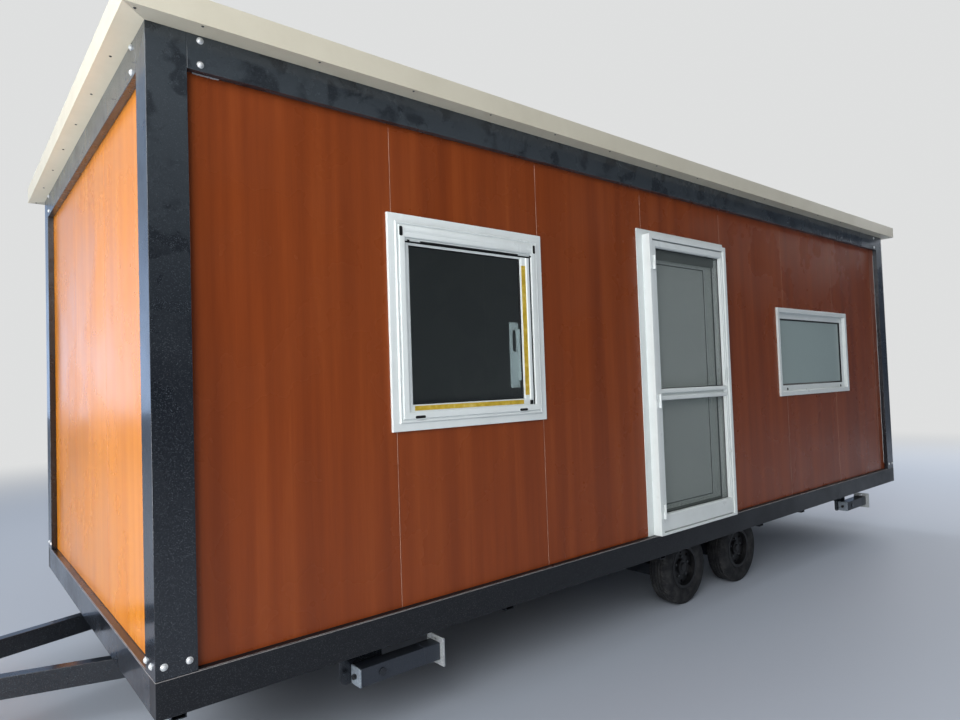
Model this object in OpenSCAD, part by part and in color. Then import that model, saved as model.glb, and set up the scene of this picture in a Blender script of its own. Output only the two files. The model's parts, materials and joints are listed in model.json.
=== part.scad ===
// Portable site cabin on a twin-axle chassis with a towing frame.
// Millimetres, Z up. The origin is on the ground under the middle of the whole
// object, X runs along the cabin away from the towing eye, Y away from the door side.
// Inside in_cabin() the corner of the steel frame at the towing end of the door side,
// on the underside of the sill, is zero.

/* [Body] */
// Length of the steel frame
body_l = 7250; // [6800:50:8400]
// Width of the steel frame
body_w = 2940; // [2600:20:3200]
// Height of the steel frame, from the underside of the sill to the top of the ring beam
body_h = 2600; // [2500:10:2900]
// Clear height between the ground and the underside of the sill
ground_gap = 480; // [480:5:560]

/* [Frame profiles] */
// Width that a corner post shows on each face
post_w = 150; // [120:5:200]
// Depth of the post arms and the ring beam, which is how far the panels are set back
set_back = 35; // [25:1:50]
// Height of the sill profile
sill_h = 142; // [136:1:180]
// Height of the ring beam
beam_h = 143; // [100:1:180]
// Width of the ring beam's top flange
beam_flange = 110; // [95:5:140]
// Thickness of the folded steel
steel_t = 4; // [3:0.5:6]

/* [Floor] */
// Height of a floor joist
joist_h = 120; // [80:2:120]
// Width of a floor joist
joist_w = 50; // [40:2:80]
// Wall of a floor joist
joist_t = 3; // [2:0.5:5]
// Largest spacing between floor joists
joist_pitch = 500; // [350:10:700]
// Thickness of the floor board
deck_t = 18; // [12:1:28]

/* [Walls] */
// Thickness of a sandwich wall panel
wall_t = 50; // [40:1:60]
// Distance from the end of the frame to the first panel joint
first_joint = 1083; // [900:1:1200]
// Cover width of a wall panel
panel_w = 985; // [900:5:1150]
// Width of the groove at a panel joint
groove_w = 4; // [2:0.5:8]
// Depth of the groove at a panel joint
groove_d = 2; // [1:0.5:4]

/* [Roof] */
// Overhang of the roof edge past the frame
overhang = 92; // [60:2:140]
// Height of the roof edge
fascia_h = 103; // [80:1:140]
// Sheet thickness of the roof edge
fascia_t = 3; // [2:0.5:5]
// Width of the lip on top of the roof edge
lip_w = 14; // [8:1:30]
// Thickness of the roof panel between its ribs
roof_t = 50; // [40:1:60]
// Height of a roof rib
rib_h = 35; // [20:1:40]
// Width of a roof rib at its foot
rib_foot = 60; // [40:2:80]
// Width of a roof rib at its top
rib_top = 24; // [16:2:40]
// Largest spacing between roof ribs
rib_pitch = 330; // [250:5:500]

/* [Large window] */
// Distance from the end of the frame to the window trim
win_a_x = 1053; // [600:1:1300]
// Width over the trim
win_a_w = 1028; // [700:1:1300]
// Height of the trim's lower edge above the underside of the sill
win_a_z = 970; // [700:1:1200]
// Height over the trim
win_a_h = 1054; // [600:1:1200]

/* [Small window] */
// Distance from the end of the frame to the window trim
win_b_x = 4886; // [4500:1:5000]
// Width over the trim
win_b_w = 1400; // [800:1:1600]
// Height of the trim's lower edge above the underside of the sill
win_b_z = 990; // [800:1:1300]
// Height over the trim
win_b_h = 755; // [500:1:900]

/* [Window profiles] */
// Width of the flat trim on the panel
trim_w = 38; // [30:1:44]
// How far the trim stands out from the panel
trim_out = 15; // [12:1:18]
// Width of the rounded moulding inside the trim
mould_w = 21; // [16:1:24]
// Height of the moulding over the trim
mould_out = 8; // [6:1:9]
// Width of the large window's inner band
band_w = 31; // [24:1:36]
// Height of the inner band over the trim
band_out = 12; // [10:1:14]
// Height of the large window's head under its moulding
head_band = 54; // [50:1:70]
// Height of the sliding track under the head
track_h = 17; // [16:1:30]
// Width of the large sash's stile on the fixed side
sash_stile = 30; // [24:1:80]
// Width of the large sash's stile on the pull side
pull_stile = 75; // [50:1:90]
// Height of the large sash's bottom rail
sash_rail = 35; // [30:1:70]
// Height of the large sash's top rail
sash_top = 19; // [16:1:50]
// Width of the small window's sash
small_sash = 50; // [24:1:60]
// Depth of a sash profile
sash_d = 22; // [16:1:24]
// Thickness of a pane
pane_t = 5; // [4:0.5:8]

/* [Door surround] */
// Distance from the end of the frame to the box of the surround
door_x = 3057; // [2800:1:3200]
// Width over the box
door_w = 952; // [850:1:1100]
// Height of the box's top above the underside of the sill
door_top = 2150; // [2000:1:2250]
// Width of the flange that lies on the panel
door_flange = 62; // [40:1:80]
// Width of the box profile on its front
box_w = 32; // [26:1:40]
// How far the box stands out past the panel
box_out = 65; // [60:1:90]
// Height of the threshold bar under the screen door
sill_bar = 16; // [10:1:25]

/* [Screen door] */
// Clearance between the leaf and the surround
leaf_gap = 7; // [7:0.5:10]
// How far the leaf is set back from the front of the surround
leaf_back = 10; // [6:1:14]
// Depth of the leaf profile
leaf_d = 36; // [24:1:38]
// Width of the stile on the hinge side and of the top rail
stile_w = 46; // [36:1:60]
// Width of the stile on the lock side
lock_stile_w = 22; // [20:1:90]
// Height of the kick rail
kick_h = 110; // [80:1:200]
// Height of the lower edge of the middle rail above the underside of the sill
mid_rail_z = 1030; // [900:1:1200]
// Height of the middle rail
mid_rail_h = 78; // [50:1:100]
// Width of the stepped bead round a field
bead_w = 12; // [8:1:14]
// Thickness of the screen
screen_t = 1; // [1:0.5:2]
// Distance of the screen from the back of the leaf
screen_back = 3; // [2:1:12]

/* [Inner door] */
// Width of the lining profile
lining_w = 38; // [30:1:50]
// Thickness of the inner leaf
inner_t = 40; // [32:1:50]
// Clearance between the inner leaf and its lining
inner_gap = 7; // [7:0.5:10]

/* [Steady legs] */
// Distance from the towing end to the outrigger of the front legs
leg_a_x = 900; // [700:10:1200]
// Distance from the rear end to the outrigger of the rear legs
leg_b_x = 1030; // [1000:10:1400]
// Distance from the side of the frame to the leg
leg_in = 60; // [50:1:90]
// Outside width of the leg tube
leg_w = 80; // [70:1:80]
// Height of the leg's centre line below the sill
leg_drop = 130; // [126:1:140]
// Distance from the head of the leg to its pivot
leg_head = 110; // [95:1:112]
// Length of the outer tube
leg_l = 350; // [300:1:352]
// Length over the outer tube, the inner tube and the foot plate
leg_reach = 448; // [400:1:448]
// Stroke of the telescopic foot
foot_stroke = 130; // [60:5:130]
// Width of the foot plate
foot_w = 140; // [100:2:160]

/* [Running gear] */
// Outside diameter of a tyre
tyre_d = 530; // [500:2:560]
// Width of a tyre
tyre_w = 155; // [135:1:185]
// Distance from the side of the frame to the tyre
tyre_in = 180; // [150:5:260]
// Distance from the towing end to the first axle
axle_x = 3630; // [3400:10:4200]
// Distance between the axles
axle_gap = 758; // [700:2:900]
// Outside diameter of a rim
rim_d = 284; // [270:2:300]
// Radius of the stub axle
stub_r = 20; // [16:1:25]

/* [Chassis and towing frame] */
// Height of a chassis rail
rail_h = 100; // [80:2:120]
// Width of a chassis rail
rail_w = 60; // [50:2:80]
// Distance of a rail's centre from the centre of the cabin
rail_off = 460; // [440:5:520]
// Height of a cross beam
cross_h = 90; // [84:1:110]
// Width of a cross beam
cross_w = 60; // [50:2:80]
// Distance from the side of the frame to the end of a cross beam
cross_in = 155; // [150:1:170]
// Angle of a towing arm to the centre line
arm_angle = 17.2; // [14:0.1:22]
// Length of a towing arm
arm_l = 1400; // [1200:10:1400]
// Radius of the hole in the towing eye
eye_r = 20; // [15:0.5:25]

/* [Hidden] */

steel_colour = "#33383d";
panel_colour = "#7a3f26";
cream_colour = "#cfcdc2";
white_colour = "#e8e9e6";
zinc_colour = "#b9bcbd";
rubber_colour = "#202123";
wood_colour = "#8d7a5c";
glass_colour = "#56626a";
mesh_colour = "#6d7472";

// Clearance that a round shaft has in its bore
run_clear = 0.05;
// Fine clearance of a sliding or moving piece
slip = 0.5;
// A cut runs past the face it opens by this much
cut = 1;

wall_in = set_back + wall_t;
sill_d = wall_in;
wall_top = body_h - steel_t;
sill_in = body_w - 2*sill_d;

// Whole length, from the towing eye to the roof edge at the rear
rail_z = steel_t - cross_h;
arm_start = cross_w + 90;
eye_ring_r = eye_r + 24;
eye_reach = 190;
eye_h = 30;
shank_w = 36;
head_plate_t = 20;
arm_dx = arm_l*cos(arm_angle);
arm_tip_x = arm_start - arm_dx;
eye_x = arm_tip_x - eye_reach;
nose_x = eye_x - eye_ring_r;
total_l = body_l + overhang - nose_x;
frame_x = -total_l/2 - nose_x;

// Prop between the towing arms, with the part of its tube below them
prop_x = arm_tip_x + 170;
prop_w = 70;
prop_l = 480;
prop_below = 130;
screw_w = 50;
prop_foot_w = 160;
prop_foot_t = 16;
crank_h = 50;

// Joists stand over the outriggers and on both sides of the wheels, and fill the spaces
// between; those over the wheels are notched to arch_z
arch_x0 = axle_x - tyre_d/2 - 20;
arch_x1 = axle_x + axle_gap + tyre_d/2 + 20;
arch_z = tyre_d - ground_gap + 15;
end_joist = sill_d + joist_w/2 + 8;
stations = [end_joist, leg_a_x, arch_x0 - cross_w/2, arch_x1 + cross_w/2, body_l - leg_b_x,
    body_l - end_joist];
parts_of = [for (i = [0:4]) ceil((stations[i + 1] - stations[i])/joist_pitch)];
step_of = [for (i = [0:4]) (stations[i + 1] - stations[i])/parts_of[i]];
joist_xs = concat([for (i = [0:4]) for (k = [0:parts_of[i] - 1]) stations[i] + k*step_of[i]],
    [stations[5]]);
cross_xs = [stations[0], stations[1], stations[1] + floor(parts_of[1]/2)*step_of[1],
    stations[2], stations[3], stations[3] + floor(parts_of[3]/2)*step_of[3], stations[4]];

// Windows: the hole in the panel is a little larger than the trim's inner edge. The large
// window's sash lies just behind its inner band, the small window's behind a deep reveal
win_a = [win_a_x, win_a_z, win_a_w, win_a_h];
win_b = [win_b_x, win_b_z, win_b_w, win_b_h];
trim_y = set_back - trim_out;
mould_y = trim_y - mould_out;
band_y = trim_y - band_out;
trim_lap = 8;
mould_in = trim_w + mould_w;
band_in = mould_in + band_w;
deep_in = trim_w + trim_lap;
edge_r = 1.5;
glass_a = trim_y + 1 + sash_d/2;
glass_b = wall_in - 12 - sash_d/2;
head_z = win_a_z + win_a_h - mould_in - head_band;
track_slot = 3;
track_pitch = 8;
track_step = 4;
// Rebate in front of a pane, as width and as depth left behind its middle
rebate_w = 7;
rebate_d = 4;

// Door: the surround's box stands on the sill, the lining fills the wall behind it
door_h = door_top - sill_h;
hole_x = door_x + 6;
hole_w = door_w - 12;
hole_top = door_top - 10;
box_y = set_back - box_out;
flange_t = 5;
flange_over = 40;
lining_out = 20;
threshold_h = 30;
leaf_x = door_x + box_w + leaf_gap;
leaf_w = door_w - 2*(box_w + leaf_gap);
leaf_z = sill_h + sill_bar + leaf_gap;
leaf_h = door_top - box_w - leaf_gap - leaf_z;
leaf_y = box_y + leaf_back;
pin_r = 4;
knuckle_r = 8;
knuckle_h = 46;
hinge_t = 3;
hinge_w = 34;
screen_axis_x = door_x + box_w + leaf_gap/2;
screen_axis_y = box_y - knuckle_r - 1;
hinge_zs = [leaf_z + 87, leaf_z + 0.42*leaf_h, leaf_z + leaf_h - 200];
inner_x = hole_x + lining_w + inner_gap;
inner_w = hole_w - 2*(lining_w + inner_gap);
inner_z = sill_h + threshold_h + 6;
inner_h = hole_top - lining_w - inner_gap - inner_z;
inner_y = wall_in + lining_out + 5 - inner_t;
handle_z = 1080;
handle_in = 60;
handle_size = [30, 8, 220];
inner_axis_x = inner_x - inner_gap/2;
inner_axis_y = inner_y + inner_t + knuckle_r + 1;

// Legs: every foot points to the rear when it is folded up
leg_xs = [leg_a_x - 30, body_l - leg_b_x - 30];
leg_mid_y = leg_in + leg_w/2;
pivot_r = 12;
pin_out = 7;
plate_t = 8;
bracket_lap = 60;
bracket_below = 45;
bracket_r = 30;
inner_leg_w = leg_w - 2*steel_t - 2*slip;
// The inner tube starts behind the pivot and stays in the leg by held_l at full stroke
held_l = 83;
foot_t = 8;
foot_clip = 22;
cap_t = 6;
cap_lap = 2;
stub_l = 16;
inner_start = max(leg_head + pivot_r + 15, leg_l - foot_stroke - held_l);

tyre_r = tyre_d/2;
rim_r = rim_d/2;
wheel_z = tyre_r - ground_gap;
hub_r = 55;
hub_cap_t = 8;
disc_t = 8;
disc_in = 34;
rim_edge_t = 3;
rim_holes = 8;
rim_hole_r = 12;
rim_hole_in = 36;
tread_d = 7;
tread_gap = 6;
tread_pitch = 25;
axle_h = 80;
axle_z = rail_z - rail_h - axle_h/2;
arm_trail = 150;
arm_t = 18;
arm_big_r = 36;
arm_end_r = 32;
stub_in = 42;
shoulder_t = 8;

module in_cabin() {
    translate([frame_x, -body_w/2, ground_gap]) children();
}

// The same shape on the other side of the cabin
module far_side() {
    translate([0, body_w, 0]) mirror([0, 1, 0]) children();
}

module both_sides() {
    children();
    far_side() children();
}

module both_ends() {
    children();
    translate([body_l, 0, 0]) mirror([1, 0, 0]) children();
}

// Rectangular tube along X, open at its ends
module tube_x(l, w, h, t) {
    difference() {
        cube([l, w, h]);
        translate([-cut, t, t]) cube([l + 2*cut, w - 2*t, h - 2*t]);
    }
}

// Rectangular tube along Y, open at its ends
module tube_y(l, w, h, t) {
    translate([w, 0, 0]) rotate([0, 0, 90]) tube_x(l, w, h, t);
}

module chassis_rails() {
    color(steel_colour) in_cabin() for (side = [-1, 1])
        translate([arm_start, body_w/2 + side*rail_off - rail_w/2, rail_z - rail_h])
            tube_x(body_l - leg_b_x + cross_w/2 - arm_start, rail_w, rail_h, steel_t);
}

module cross_beams() {
    color(steel_colour) in_cabin() for (x = cross_xs)
        translate([x - cross_w/2, cross_in, rail_z])
            tube_y(body_w - 2*cross_in, cross_w, cross_h, steel_t);
}

// Towing arm that starts at the rail and runs in to the nose
module towing_arm() {
    in_cabin() difference() {
        translate([arm_start, body_w/2 - rail_off, rail_z - rail_h])
            rotate([0, 0, 180 - arm_angle]) translate([-rail_w, -rail_w/2, 0])
                tube_x(arm_l + rail_w, rail_w, rail_h, steel_t);
        translate([arm_start, 0, rail_z - rail_h - cut]) cube([300, body_w, rail_h + 2*cut]);
        translate([arm_tip_x - 300, 0, rail_z - rail_h - cut])
            cube([300, body_w, rail_h + 2*cut]);
        translate([arm_tip_x - 300, body_w/2 - 20, rail_z - rail_h - cut])
            cube([600, 200, rail_h + 2*cut]);
    }
}

module drawbar_arm_near() { color(steel_colour) towing_arm(); }
module drawbar_arm_far() { color(steel_colour) mirror([0, 1, 0]) towing_arm(); }

// Head plate across the arm tips with a shank and a ring eye
module towing_eye() {
    tip_half = rail_off - arm_dx*tan(arm_angle) + rail_w/2/cos(arm_angle);
    color(zinc_colour) in_cabin() translate([0, body_w/2, rail_z - rail_h/2]) difference() {
        union() {
            translate([arm_tip_x - head_plate_t, -tip_half, -rail_h/2])
                cube([head_plate_t, 2*tip_half, rail_h]);
            translate([eye_x, -shank_w/2, -eye_h/2]) cube([eye_reach, shank_w, eye_h]);
            translate([eye_x, 0, -eye_h/2]) cylinder(r = eye_ring_r, h = eye_h, $fn = 64);
        }
        translate([eye_x, 0, -eye_h/2 - cut]) cylinder(r = eye_r, h = eye_h + 2*cut, $fn = 64);
    }
}

// Prop under the nose: outer tube held by a plate, screw tube and foot plate on the ground,
// crank end on top
module nose_support() {
    gap_half = rail_off - (arm_start - prop_x + prop_w/2)*tan(arm_angle)
        - rail_w/2/cos(arm_angle);
    tube_z = rail_z - rail_h - prop_below;
    color(zinc_colour) in_cabin() translate([prop_x, body_w/2, 0]) {
        translate([-prop_w/2, -prop_w/2, tube_z]) cube([prop_w, prop_w, prop_l]);
        translate([-prop_w/2, -gap_half, rail_z - rail_h]) cube([plate_t, 2*gap_half, rail_h]);
        translate([-screw_w/2, -screw_w/2, prop_foot_t - ground_gap])
            cube([screw_w, screw_w, tube_z + ground_gap - prop_foot_t]);
        translate([-prop_foot_w/2, -prop_foot_w/2, -ground_gap])
            cube([prop_foot_w, prop_foot_w, prop_foot_t]);
        translate([0, 0, tube_z + prop_l]) cylinder(r = pivot_r, h = crank_h, $fn = 32);
    }
}

// Torsion axle: square tube under the rails, trailing arms, stub axles with a shoulder
module axle_beam(x) {
    arm_y = tyre_in + tyre_w + 14;
    drop = wheel_z - axle_z;
    translate([x - arm_trail - axle_h/2, arm_y + arm_t, axle_z - axle_h/2])
        cube([axle_h, body_w - 2*(arm_y + arm_t), axle_h]);
    both_sides() {
        for (p = [[x - arm_trail, axle_z, arm_big_r], [x, wheel_z, arm_end_r]])
            translate([p[0], arm_y, p[1]]) rotate([-90, 0, 0])
                cylinder(r = p[2], h = arm_t, $fn = 32);
        translate([x - arm_trail, arm_y + arm_t, axle_z]) rotate([90, 0, 0])
            linear_extrude(arm_t) polygon([[0, -arm_big_r], [arm_trail, drop - arm_end_r],
                [arm_trail, drop + arm_end_r], [0, arm_big_r]]);
        translate([x, tyre_in + stub_in, wheel_z]) rotate([-90, 0, 0])
            cylinder(r = stub_r, h = arm_y - tyre_in - stub_in + 1, $fn = 48);
        translate([x, arm_y - shoulder_t, wheel_z]) rotate([-90, 0, 0])
            cylinder(r = stub_r + 12, h = shoulder_t + 1, $fn = 48);
    }
}

module axle_beams() {
    color(steel_colour) in_cabin() for (i = [0, 1]) axle_beam(axle_x + i*axle_gap);
}

// Leg bracket on an outrigger's end: plate with rounded lower corners, pivot pin with a head
module leg_bracket(x) {
    l = leg_head + bracket_lap + 50;
    drop = leg_drop + bracket_below;
    translate([x - bracket_lap, cross_in, 0]) rotate([90, 0, 0]) linear_extrude(plate_t) {
        translate([0, bracket_r - drop]) square([l, drop - bracket_r + steel_t]);
        translate([bracket_r, -drop]) square([l - 2*bracket_r, bracket_r + cut]);
        for (u = [bracket_r, l - bracket_r]) translate([u, bracket_r - drop])
            circle(r = bracket_r, $fn = 48);
    }
    translate([x + leg_head, leg_in - pin_out, -leg_drop]) rotate([-90, 0, 0])
        cylinder(r = pivot_r, h = cross_in - leg_in + pin_out - 1, $fn = 48);
    translate([x + leg_head, leg_in - pin_out, -leg_drop]) rotate([-90, 0, 0])
        cylinder(r = pivot_r + 7, h = pin_out - 1, $fn = 48);
}

module leg_brackets() {
    color(steel_colour) in_cabin() both_sides() for (x = leg_xs) leg_bracket(x);
}

// Channel along X with its web outside and its ends closed
module side_sill() {
    difference() {
        cube([body_l, sill_d, sill_h]);
        translate([steel_t, steel_t, steel_t])
            cube([body_l - 2*steel_t, sill_d, sill_h - 2*steel_t]);
    }
}

module side_sills() { color(steel_colour) in_cabin() both_sides() side_sill(); }

module end_sills() {
    color(steel_colour) in_cabin() both_ends() translate([0, sill_d, 0]) difference() {
        cube([sill_d, sill_in, sill_h]);
        translate([steel_t, -cut, steel_t]) cube([sill_d, sill_in + 2*cut, sill_h - 2*steel_t]);
    }
}

module floor_joists() {
    color(steel_colour) in_cabin() difference() {
        for (x = joist_xs) translate([x - joist_w/2, steel_t, steel_t])
            tube_y(body_w - 2*steel_t, joist_w, joist_h, joist_t);
        both_sides() translate([arch_x0, tyre_in - 15, 0])
            cube([arch_x1 - arch_x0, tyre_w + 30, arch_z]);
    }
}

module floor_deck() {
    color(wood_colour) in_cabin() translate([sill_d, sill_d, steel_t + joist_h])
        cube([body_l - 2*sill_d, sill_in, deck_t]);
}

// L-shaped closed profile, both arms as deep as the panels are set back
module corner_post() {
    translate([set_back - cut, set_back - cut, body_h - steel_t])
        cube([post_w - set_back + cut, post_w - set_back + cut, steel_t]);
    translate([0, 0, sill_h]) linear_extrude(body_h - sill_h) difference() {
        union() {
            square([post_w, set_back]);
            square([set_back, post_w]);
        }
        translate([steel_t, steel_t]) square([post_w - 2*steel_t, set_back - 2*steel_t]);
        translate([steel_t, steel_t]) square([set_back - 2*steel_t, post_w - 2*steel_t]);
    }
}

module corner_posts() { color(steel_colour) in_cabin() both_ends() both_sides() corner_post(); }

// Ring beam: closed face profile with a top flange over the wall
module ring_beam(l) {
    translate([0, 0, body_h - beam_h]) tube_x(l, set_back, beam_h, steel_t);
    translate([0, set_back, body_h - steel_t]) cube([l, beam_flange - set_back, steel_t]);
}

module side_top_beams() {
    color(steel_colour) in_cabin() both_sides() translate([post_w, 0, 0])
        ring_beam(body_l - 2*post_w);
}

module end_top_beams() {
    color(steel_colour) in_cabin() both_ends() translate([0, body_w - post_w, 0])
        rotate([0, 0, -90]) ring_beam(body_w - 2*post_w);
}

// Roof panels with ribs across the cabin, one sheet of insulated panels
module roof_panels() {
    roof_l = body_l + 2*overhang - 2*fascia_t - 2*slip;
    roof_w = body_w + 2*overhang - 2*fascia_t - 2*slip;
    rib_n = ceil((roof_l - rib_foot)/rib_pitch);
    step = (roof_l - rib_foot - 20)/rib_n;
    color(cream_colour) in_cabin()
        translate([fascia_t + slip - overhang, fascia_t + slip - overhang, body_h + fascia_t])
            rotate([90, 0, 0]) translate([0, 0, -roof_w]) linear_extrude(roof_w) {
                square([roof_l, roof_t]);
                for (i = [0:rib_n]) translate([10 + rib_foot/2 + i*step, roof_t])
                    polygon([[-rib_foot/2, -cut], [rib_foot/2, -cut], [rib_foot/2, 0],
                        [rib_top/2, rib_h], [-rib_top/2, rib_h], [-rib_foot/2, 0]]);
            }
}

// Folded roof edge all round: upright face, top lip, and a soffit in to the ring beam
module roof_edge() {
    o = overhang;
    difference() {
        translate([-o, -o, body_h]) cube([body_l + 2*o, body_w + 2*o, fascia_h]);
        translate([fascia_t - o, fascia_t - o, body_h + fascia_t])
            cube([body_l + 2*o - 2*fascia_t, body_w + 2*o - 2*fascia_t, fascia_h - 2*fascia_t]);
        translate([lip_w - o, lip_w - o, body_h + fascia_h/2])
            cube([body_l + 2*o - 2*lip_w, body_w + 2*o - 2*lip_w, fascia_h]);
        translate([set_back, set_back, body_h - cut])
            cube([body_l - 2*set_back, body_w - 2*set_back, fascia_h/2]);
    }
}

// Plan of the door side's share of the roof edge, mitred at 45 degrees at both ends
module mitre(l) {
    o = overhang;
    linear_extrude(3*body_h) polygon([[-o - cut, -o - cut], [l + o + cut, -o - cut],
        [l - set_back - cut, set_back + cut], [set_back + cut, set_back + cut]]);
}

module roof_fascia_sides() {
    color(cream_colour) in_cabin() both_sides() intersection() {
        roof_edge();
        mitre(body_l);
    }
}

module roof_fascia_ends() {
    color(cream_colour) in_cabin() both_ends() intersection() {
        roof_edge();
        translate([0, body_w, 0]) rotate([0, 0, -90]) mitre(body_w);
    }
}

joint_xs = [for (x = [first_joint:panel_w:body_l - 2*wall_in]) x];

// Plan of the tool that cuts a V groove into a panel face
module joint_plan(a, b) { polygon([[-a, 0], [0, b], [a, 0], [0, -b]]); }

// Stretch of wall along X with grooves at the panel joints on both faces
module wall_x(x0, x1, z0, z1) {
    difference() {
        translate([x0, set_back, z0]) cube([x1 - x0, wall_t, z1 - z0]);
        for (x = joint_xs) if (x > x0 + groove_w && x < x1 - groove_w)
            for (y = [set_back, wall_in]) translate([x, y, z0 - cut])
                linear_extrude(z1 - z0 + 2*cut) joint_plan(groove_w/2, groove_d);
    }
}

// Hole in a wall for a window, behind its trim
module window_hole(w) {
    inset = trim_w - trim_lap;
    translate([w[0] + inset, set_back - cut, w[1] + inset])
        cube([w[2] - 2*inset, wall_t + 2*cut, w[3] - 2*inset]);
}

module front_wall_left() {
    color(panel_colour) in_cabin() difference() {
        wall_x(wall_in, hole_x, sill_h, wall_top);
        window_hole(win_a);
    }
}

module front_wall_over_door() {
    color(panel_colour) in_cabin() wall_x(hole_x, hole_x + hole_w, hole_top, wall_top);
}

module front_wall_right() {
    color(panel_colour) in_cabin() difference() {
        wall_x(hole_x + hole_w, body_l - wall_in, sill_h, wall_top);
        window_hole(win_b);
    }
}

module back_wall() {
    color(panel_colour) in_cabin() far_side() wall_x(wall_in, body_l - wall_in, sill_h, wall_top);
}

// End wall between the outer skins of the side walls, with its panel joints
module end_wall() {
    end_n = ceil((body_w - 2*wall_in)/panel_w);
    step = (body_w - 2*wall_in)/end_n;
    difference() {
        translate([set_back, set_back, sill_h])
            cube([wall_t, body_w - 2*set_back, wall_top - sill_h]);
        for (i = [1:end_n - 1]) for (x = [set_back, wall_in])
            translate([x, wall_in + i*step, sill_h - cut])
                linear_extrude(wall_top) joint_plan(groove_d, groove_w/2);
    }
}

module drawbar_end_wall() { color(panel_colour) in_cabin() end_wall(); }
module rear_end_wall() {
    color(panel_colour) in_cabin() translate([body_l, 0, 0]) mirror([1, 0, 0]) end_wall();
}

// One side of a mitred frame along X: the profile's first value is its depth along Y and its
// second value its distance from the outer edge
module frame_side(l, reach) {
    intersection() {
        rotate([90, 0, 90]) linear_extrude(l) children();
        rotate([90, 0, 0]) translate([0, 0, -2*wall_in]) linear_extrude(4*wall_in)
            polygon([[0, 0], [l, 0], [l - reach, reach], [reach, reach]]);
    }
}

// Four sides with 45 degree mitres round a rectangle in the XZ plane
module mitred_frame(w, h, reach) {
    for (side = [0, 1]) {
        translate([0, 0, side*h]) mirror([0, 0, side]) frame_side(w, reach) children();
        translate([side*w, 0, 0]) mirror([side, 0, 0]) mirror([1, 0, -1])
            frame_side(h, reach) children();
    }
}

// Window frame: flat trim with a small bevel, then the given steps inwards through the wall
module window_frame(w, steps, inner) {
    translate([w[0], 0, w[1]]) mitred_frame(w[2], w[3], inner)
        polygon(concat([[set_back, 0], [trim_y + edge_r, 0], [trim_y, edge_r]], steps,
            [[wall_in, inner], [wall_in, trim_w - trim_lap], [set_back, trim_w - trim_lap]]));
}

// Large frame: moulding that rises from the trim and falls back, inner band in front of the
// sash, head with two track grooves under it
module large_window_frame() {
    l = win_a_w - 2*band_in;
    head_top = win_a_z + win_a_h - band_in;
    crest = trim_w + mould_w/2;
    color(white_colour) in_cabin() {
        window_frame(win_a, [[trim_y, trim_w], [mould_y + 3, trim_w + 2],
            [mould_y, trim_w + 4], [mould_y, crest - 2], [mould_y + 4, crest + 2],
            [mould_y + 4, mould_in - 2], [band_y, mould_in], [band_y, band_in - edge_r],
            [band_y + edge_r, band_in]], band_in);
        difference() {
            translate([win_a_x + band_in, band_y, head_z - track_h])
                cube([l, wall_in - band_y, head_top - head_z + track_h]);
            translate([win_a_x + band_in - cut, band_y - cut, head_z - track_h - cut])
                cube([l + 2*cut, track_step + cut, track_h + cut]);
            for (k = [0, 1])
                translate([win_a_x + band_in - cut, band_y - cut,
                        head_z - track_h + track_slot + k*track_pitch])
                    cube([l + 2*cut, 2*track_step + 1 + k*track_slot + cut, track_slot]);
        }
    }
}

// Small frame: deep reveal straight behind the trim, narrow stop round the sash
module small_window_frame() {
    stop_y = glass_b - sash_d/2 - 3;
    color(white_colour) in_cabin() window_frame(win_b, [[trim_y, trim_w - edge_r],
        [trim_y + edge_r, trim_w], [stop_y, trim_w], [stop_y, deep_in]], deep_in);
}

// Sash with its opening: outer box, then the pane's box, a step at the front
module sash(x0, z0, x1, z1, p, y) {
    difference() {
        translate([x0, y - sash_d/2, z0]) cube([x1 - x0, sash_d, z1 - z0]);
        translate([p[0], y - sash_d, p[1]]) cube([p[2], 2*sash_d, p[3]]);
        translate([p[0] - rebate_w, y - sash_d, p[1] - rebate_w])
            cube([p[2] + 2*rebate_w, sash_d/2 + rebate_d, p[3] + 2*rebate_w]);
    }
}

pane_a = [win_a_x + band_in + sash_stile, win_a_z + band_in + sash_rail,
    win_a_w - 2*band_in - sash_stile - pull_stile,
    head_z - track_h - sash_top - win_a_z - band_in - sash_rail];
pane_b = [win_b_x + deep_in + small_sash, win_b_z + deep_in + small_sash,
    win_b_w - 2*deep_in - 2*small_sash, win_b_h - 2*deep_in - 2*small_sash];

module large_window_sash() {
    color(white_colour) in_cabin() sash(win_a_x + band_in, win_a_z + band_in,
        win_a_x + win_a_w - band_in, head_z - track_h, pane_a, glass_a);
}

module small_window_sash() {
    color(white_colour) in_cabin() sash(win_b_x + deep_in, win_b_z + deep_in,
        win_b_x + win_b_w - deep_in, win_b_z + win_b_h - deep_in, pane_b, glass_b);
}

module pane(p, y) { translate([p[0], y - pane_t/2, p[1]]) cube([p[2], pane_t, p[3]]); }

module window_glass() {
    color(glass_colour) in_cabin() {
        pane(pane_a, glass_a + 2);
        pane(pane_b, glass_b + 2);
    }
}

// Surround: flange on the panel and a box that stands out from it, open at the bottom
module door_surround() {
    color(white_colour) in_cabin() {
        difference() {
            translate([door_x - door_flange, set_back - flange_t, sill_h])
                cube([door_w + 2*door_flange, flange_t, door_h + flange_over]);
            translate([door_x + box_w, set_back - flange_t - cut, sill_h - cut])
                cube([door_w - 2*box_w, flange_t + 2*cut, door_h - box_w + cut]);
        }
        difference() {
            translate([door_x, box_y, sill_h]) cube([door_w, box_out, door_h]);
            translate([door_x + box_w, box_y - cut, sill_h + sill_bar])
                cube([door_w - 2*box_w, box_out + 2*cut, door_h - box_w - sill_bar]);
        }
    }
}

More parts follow.
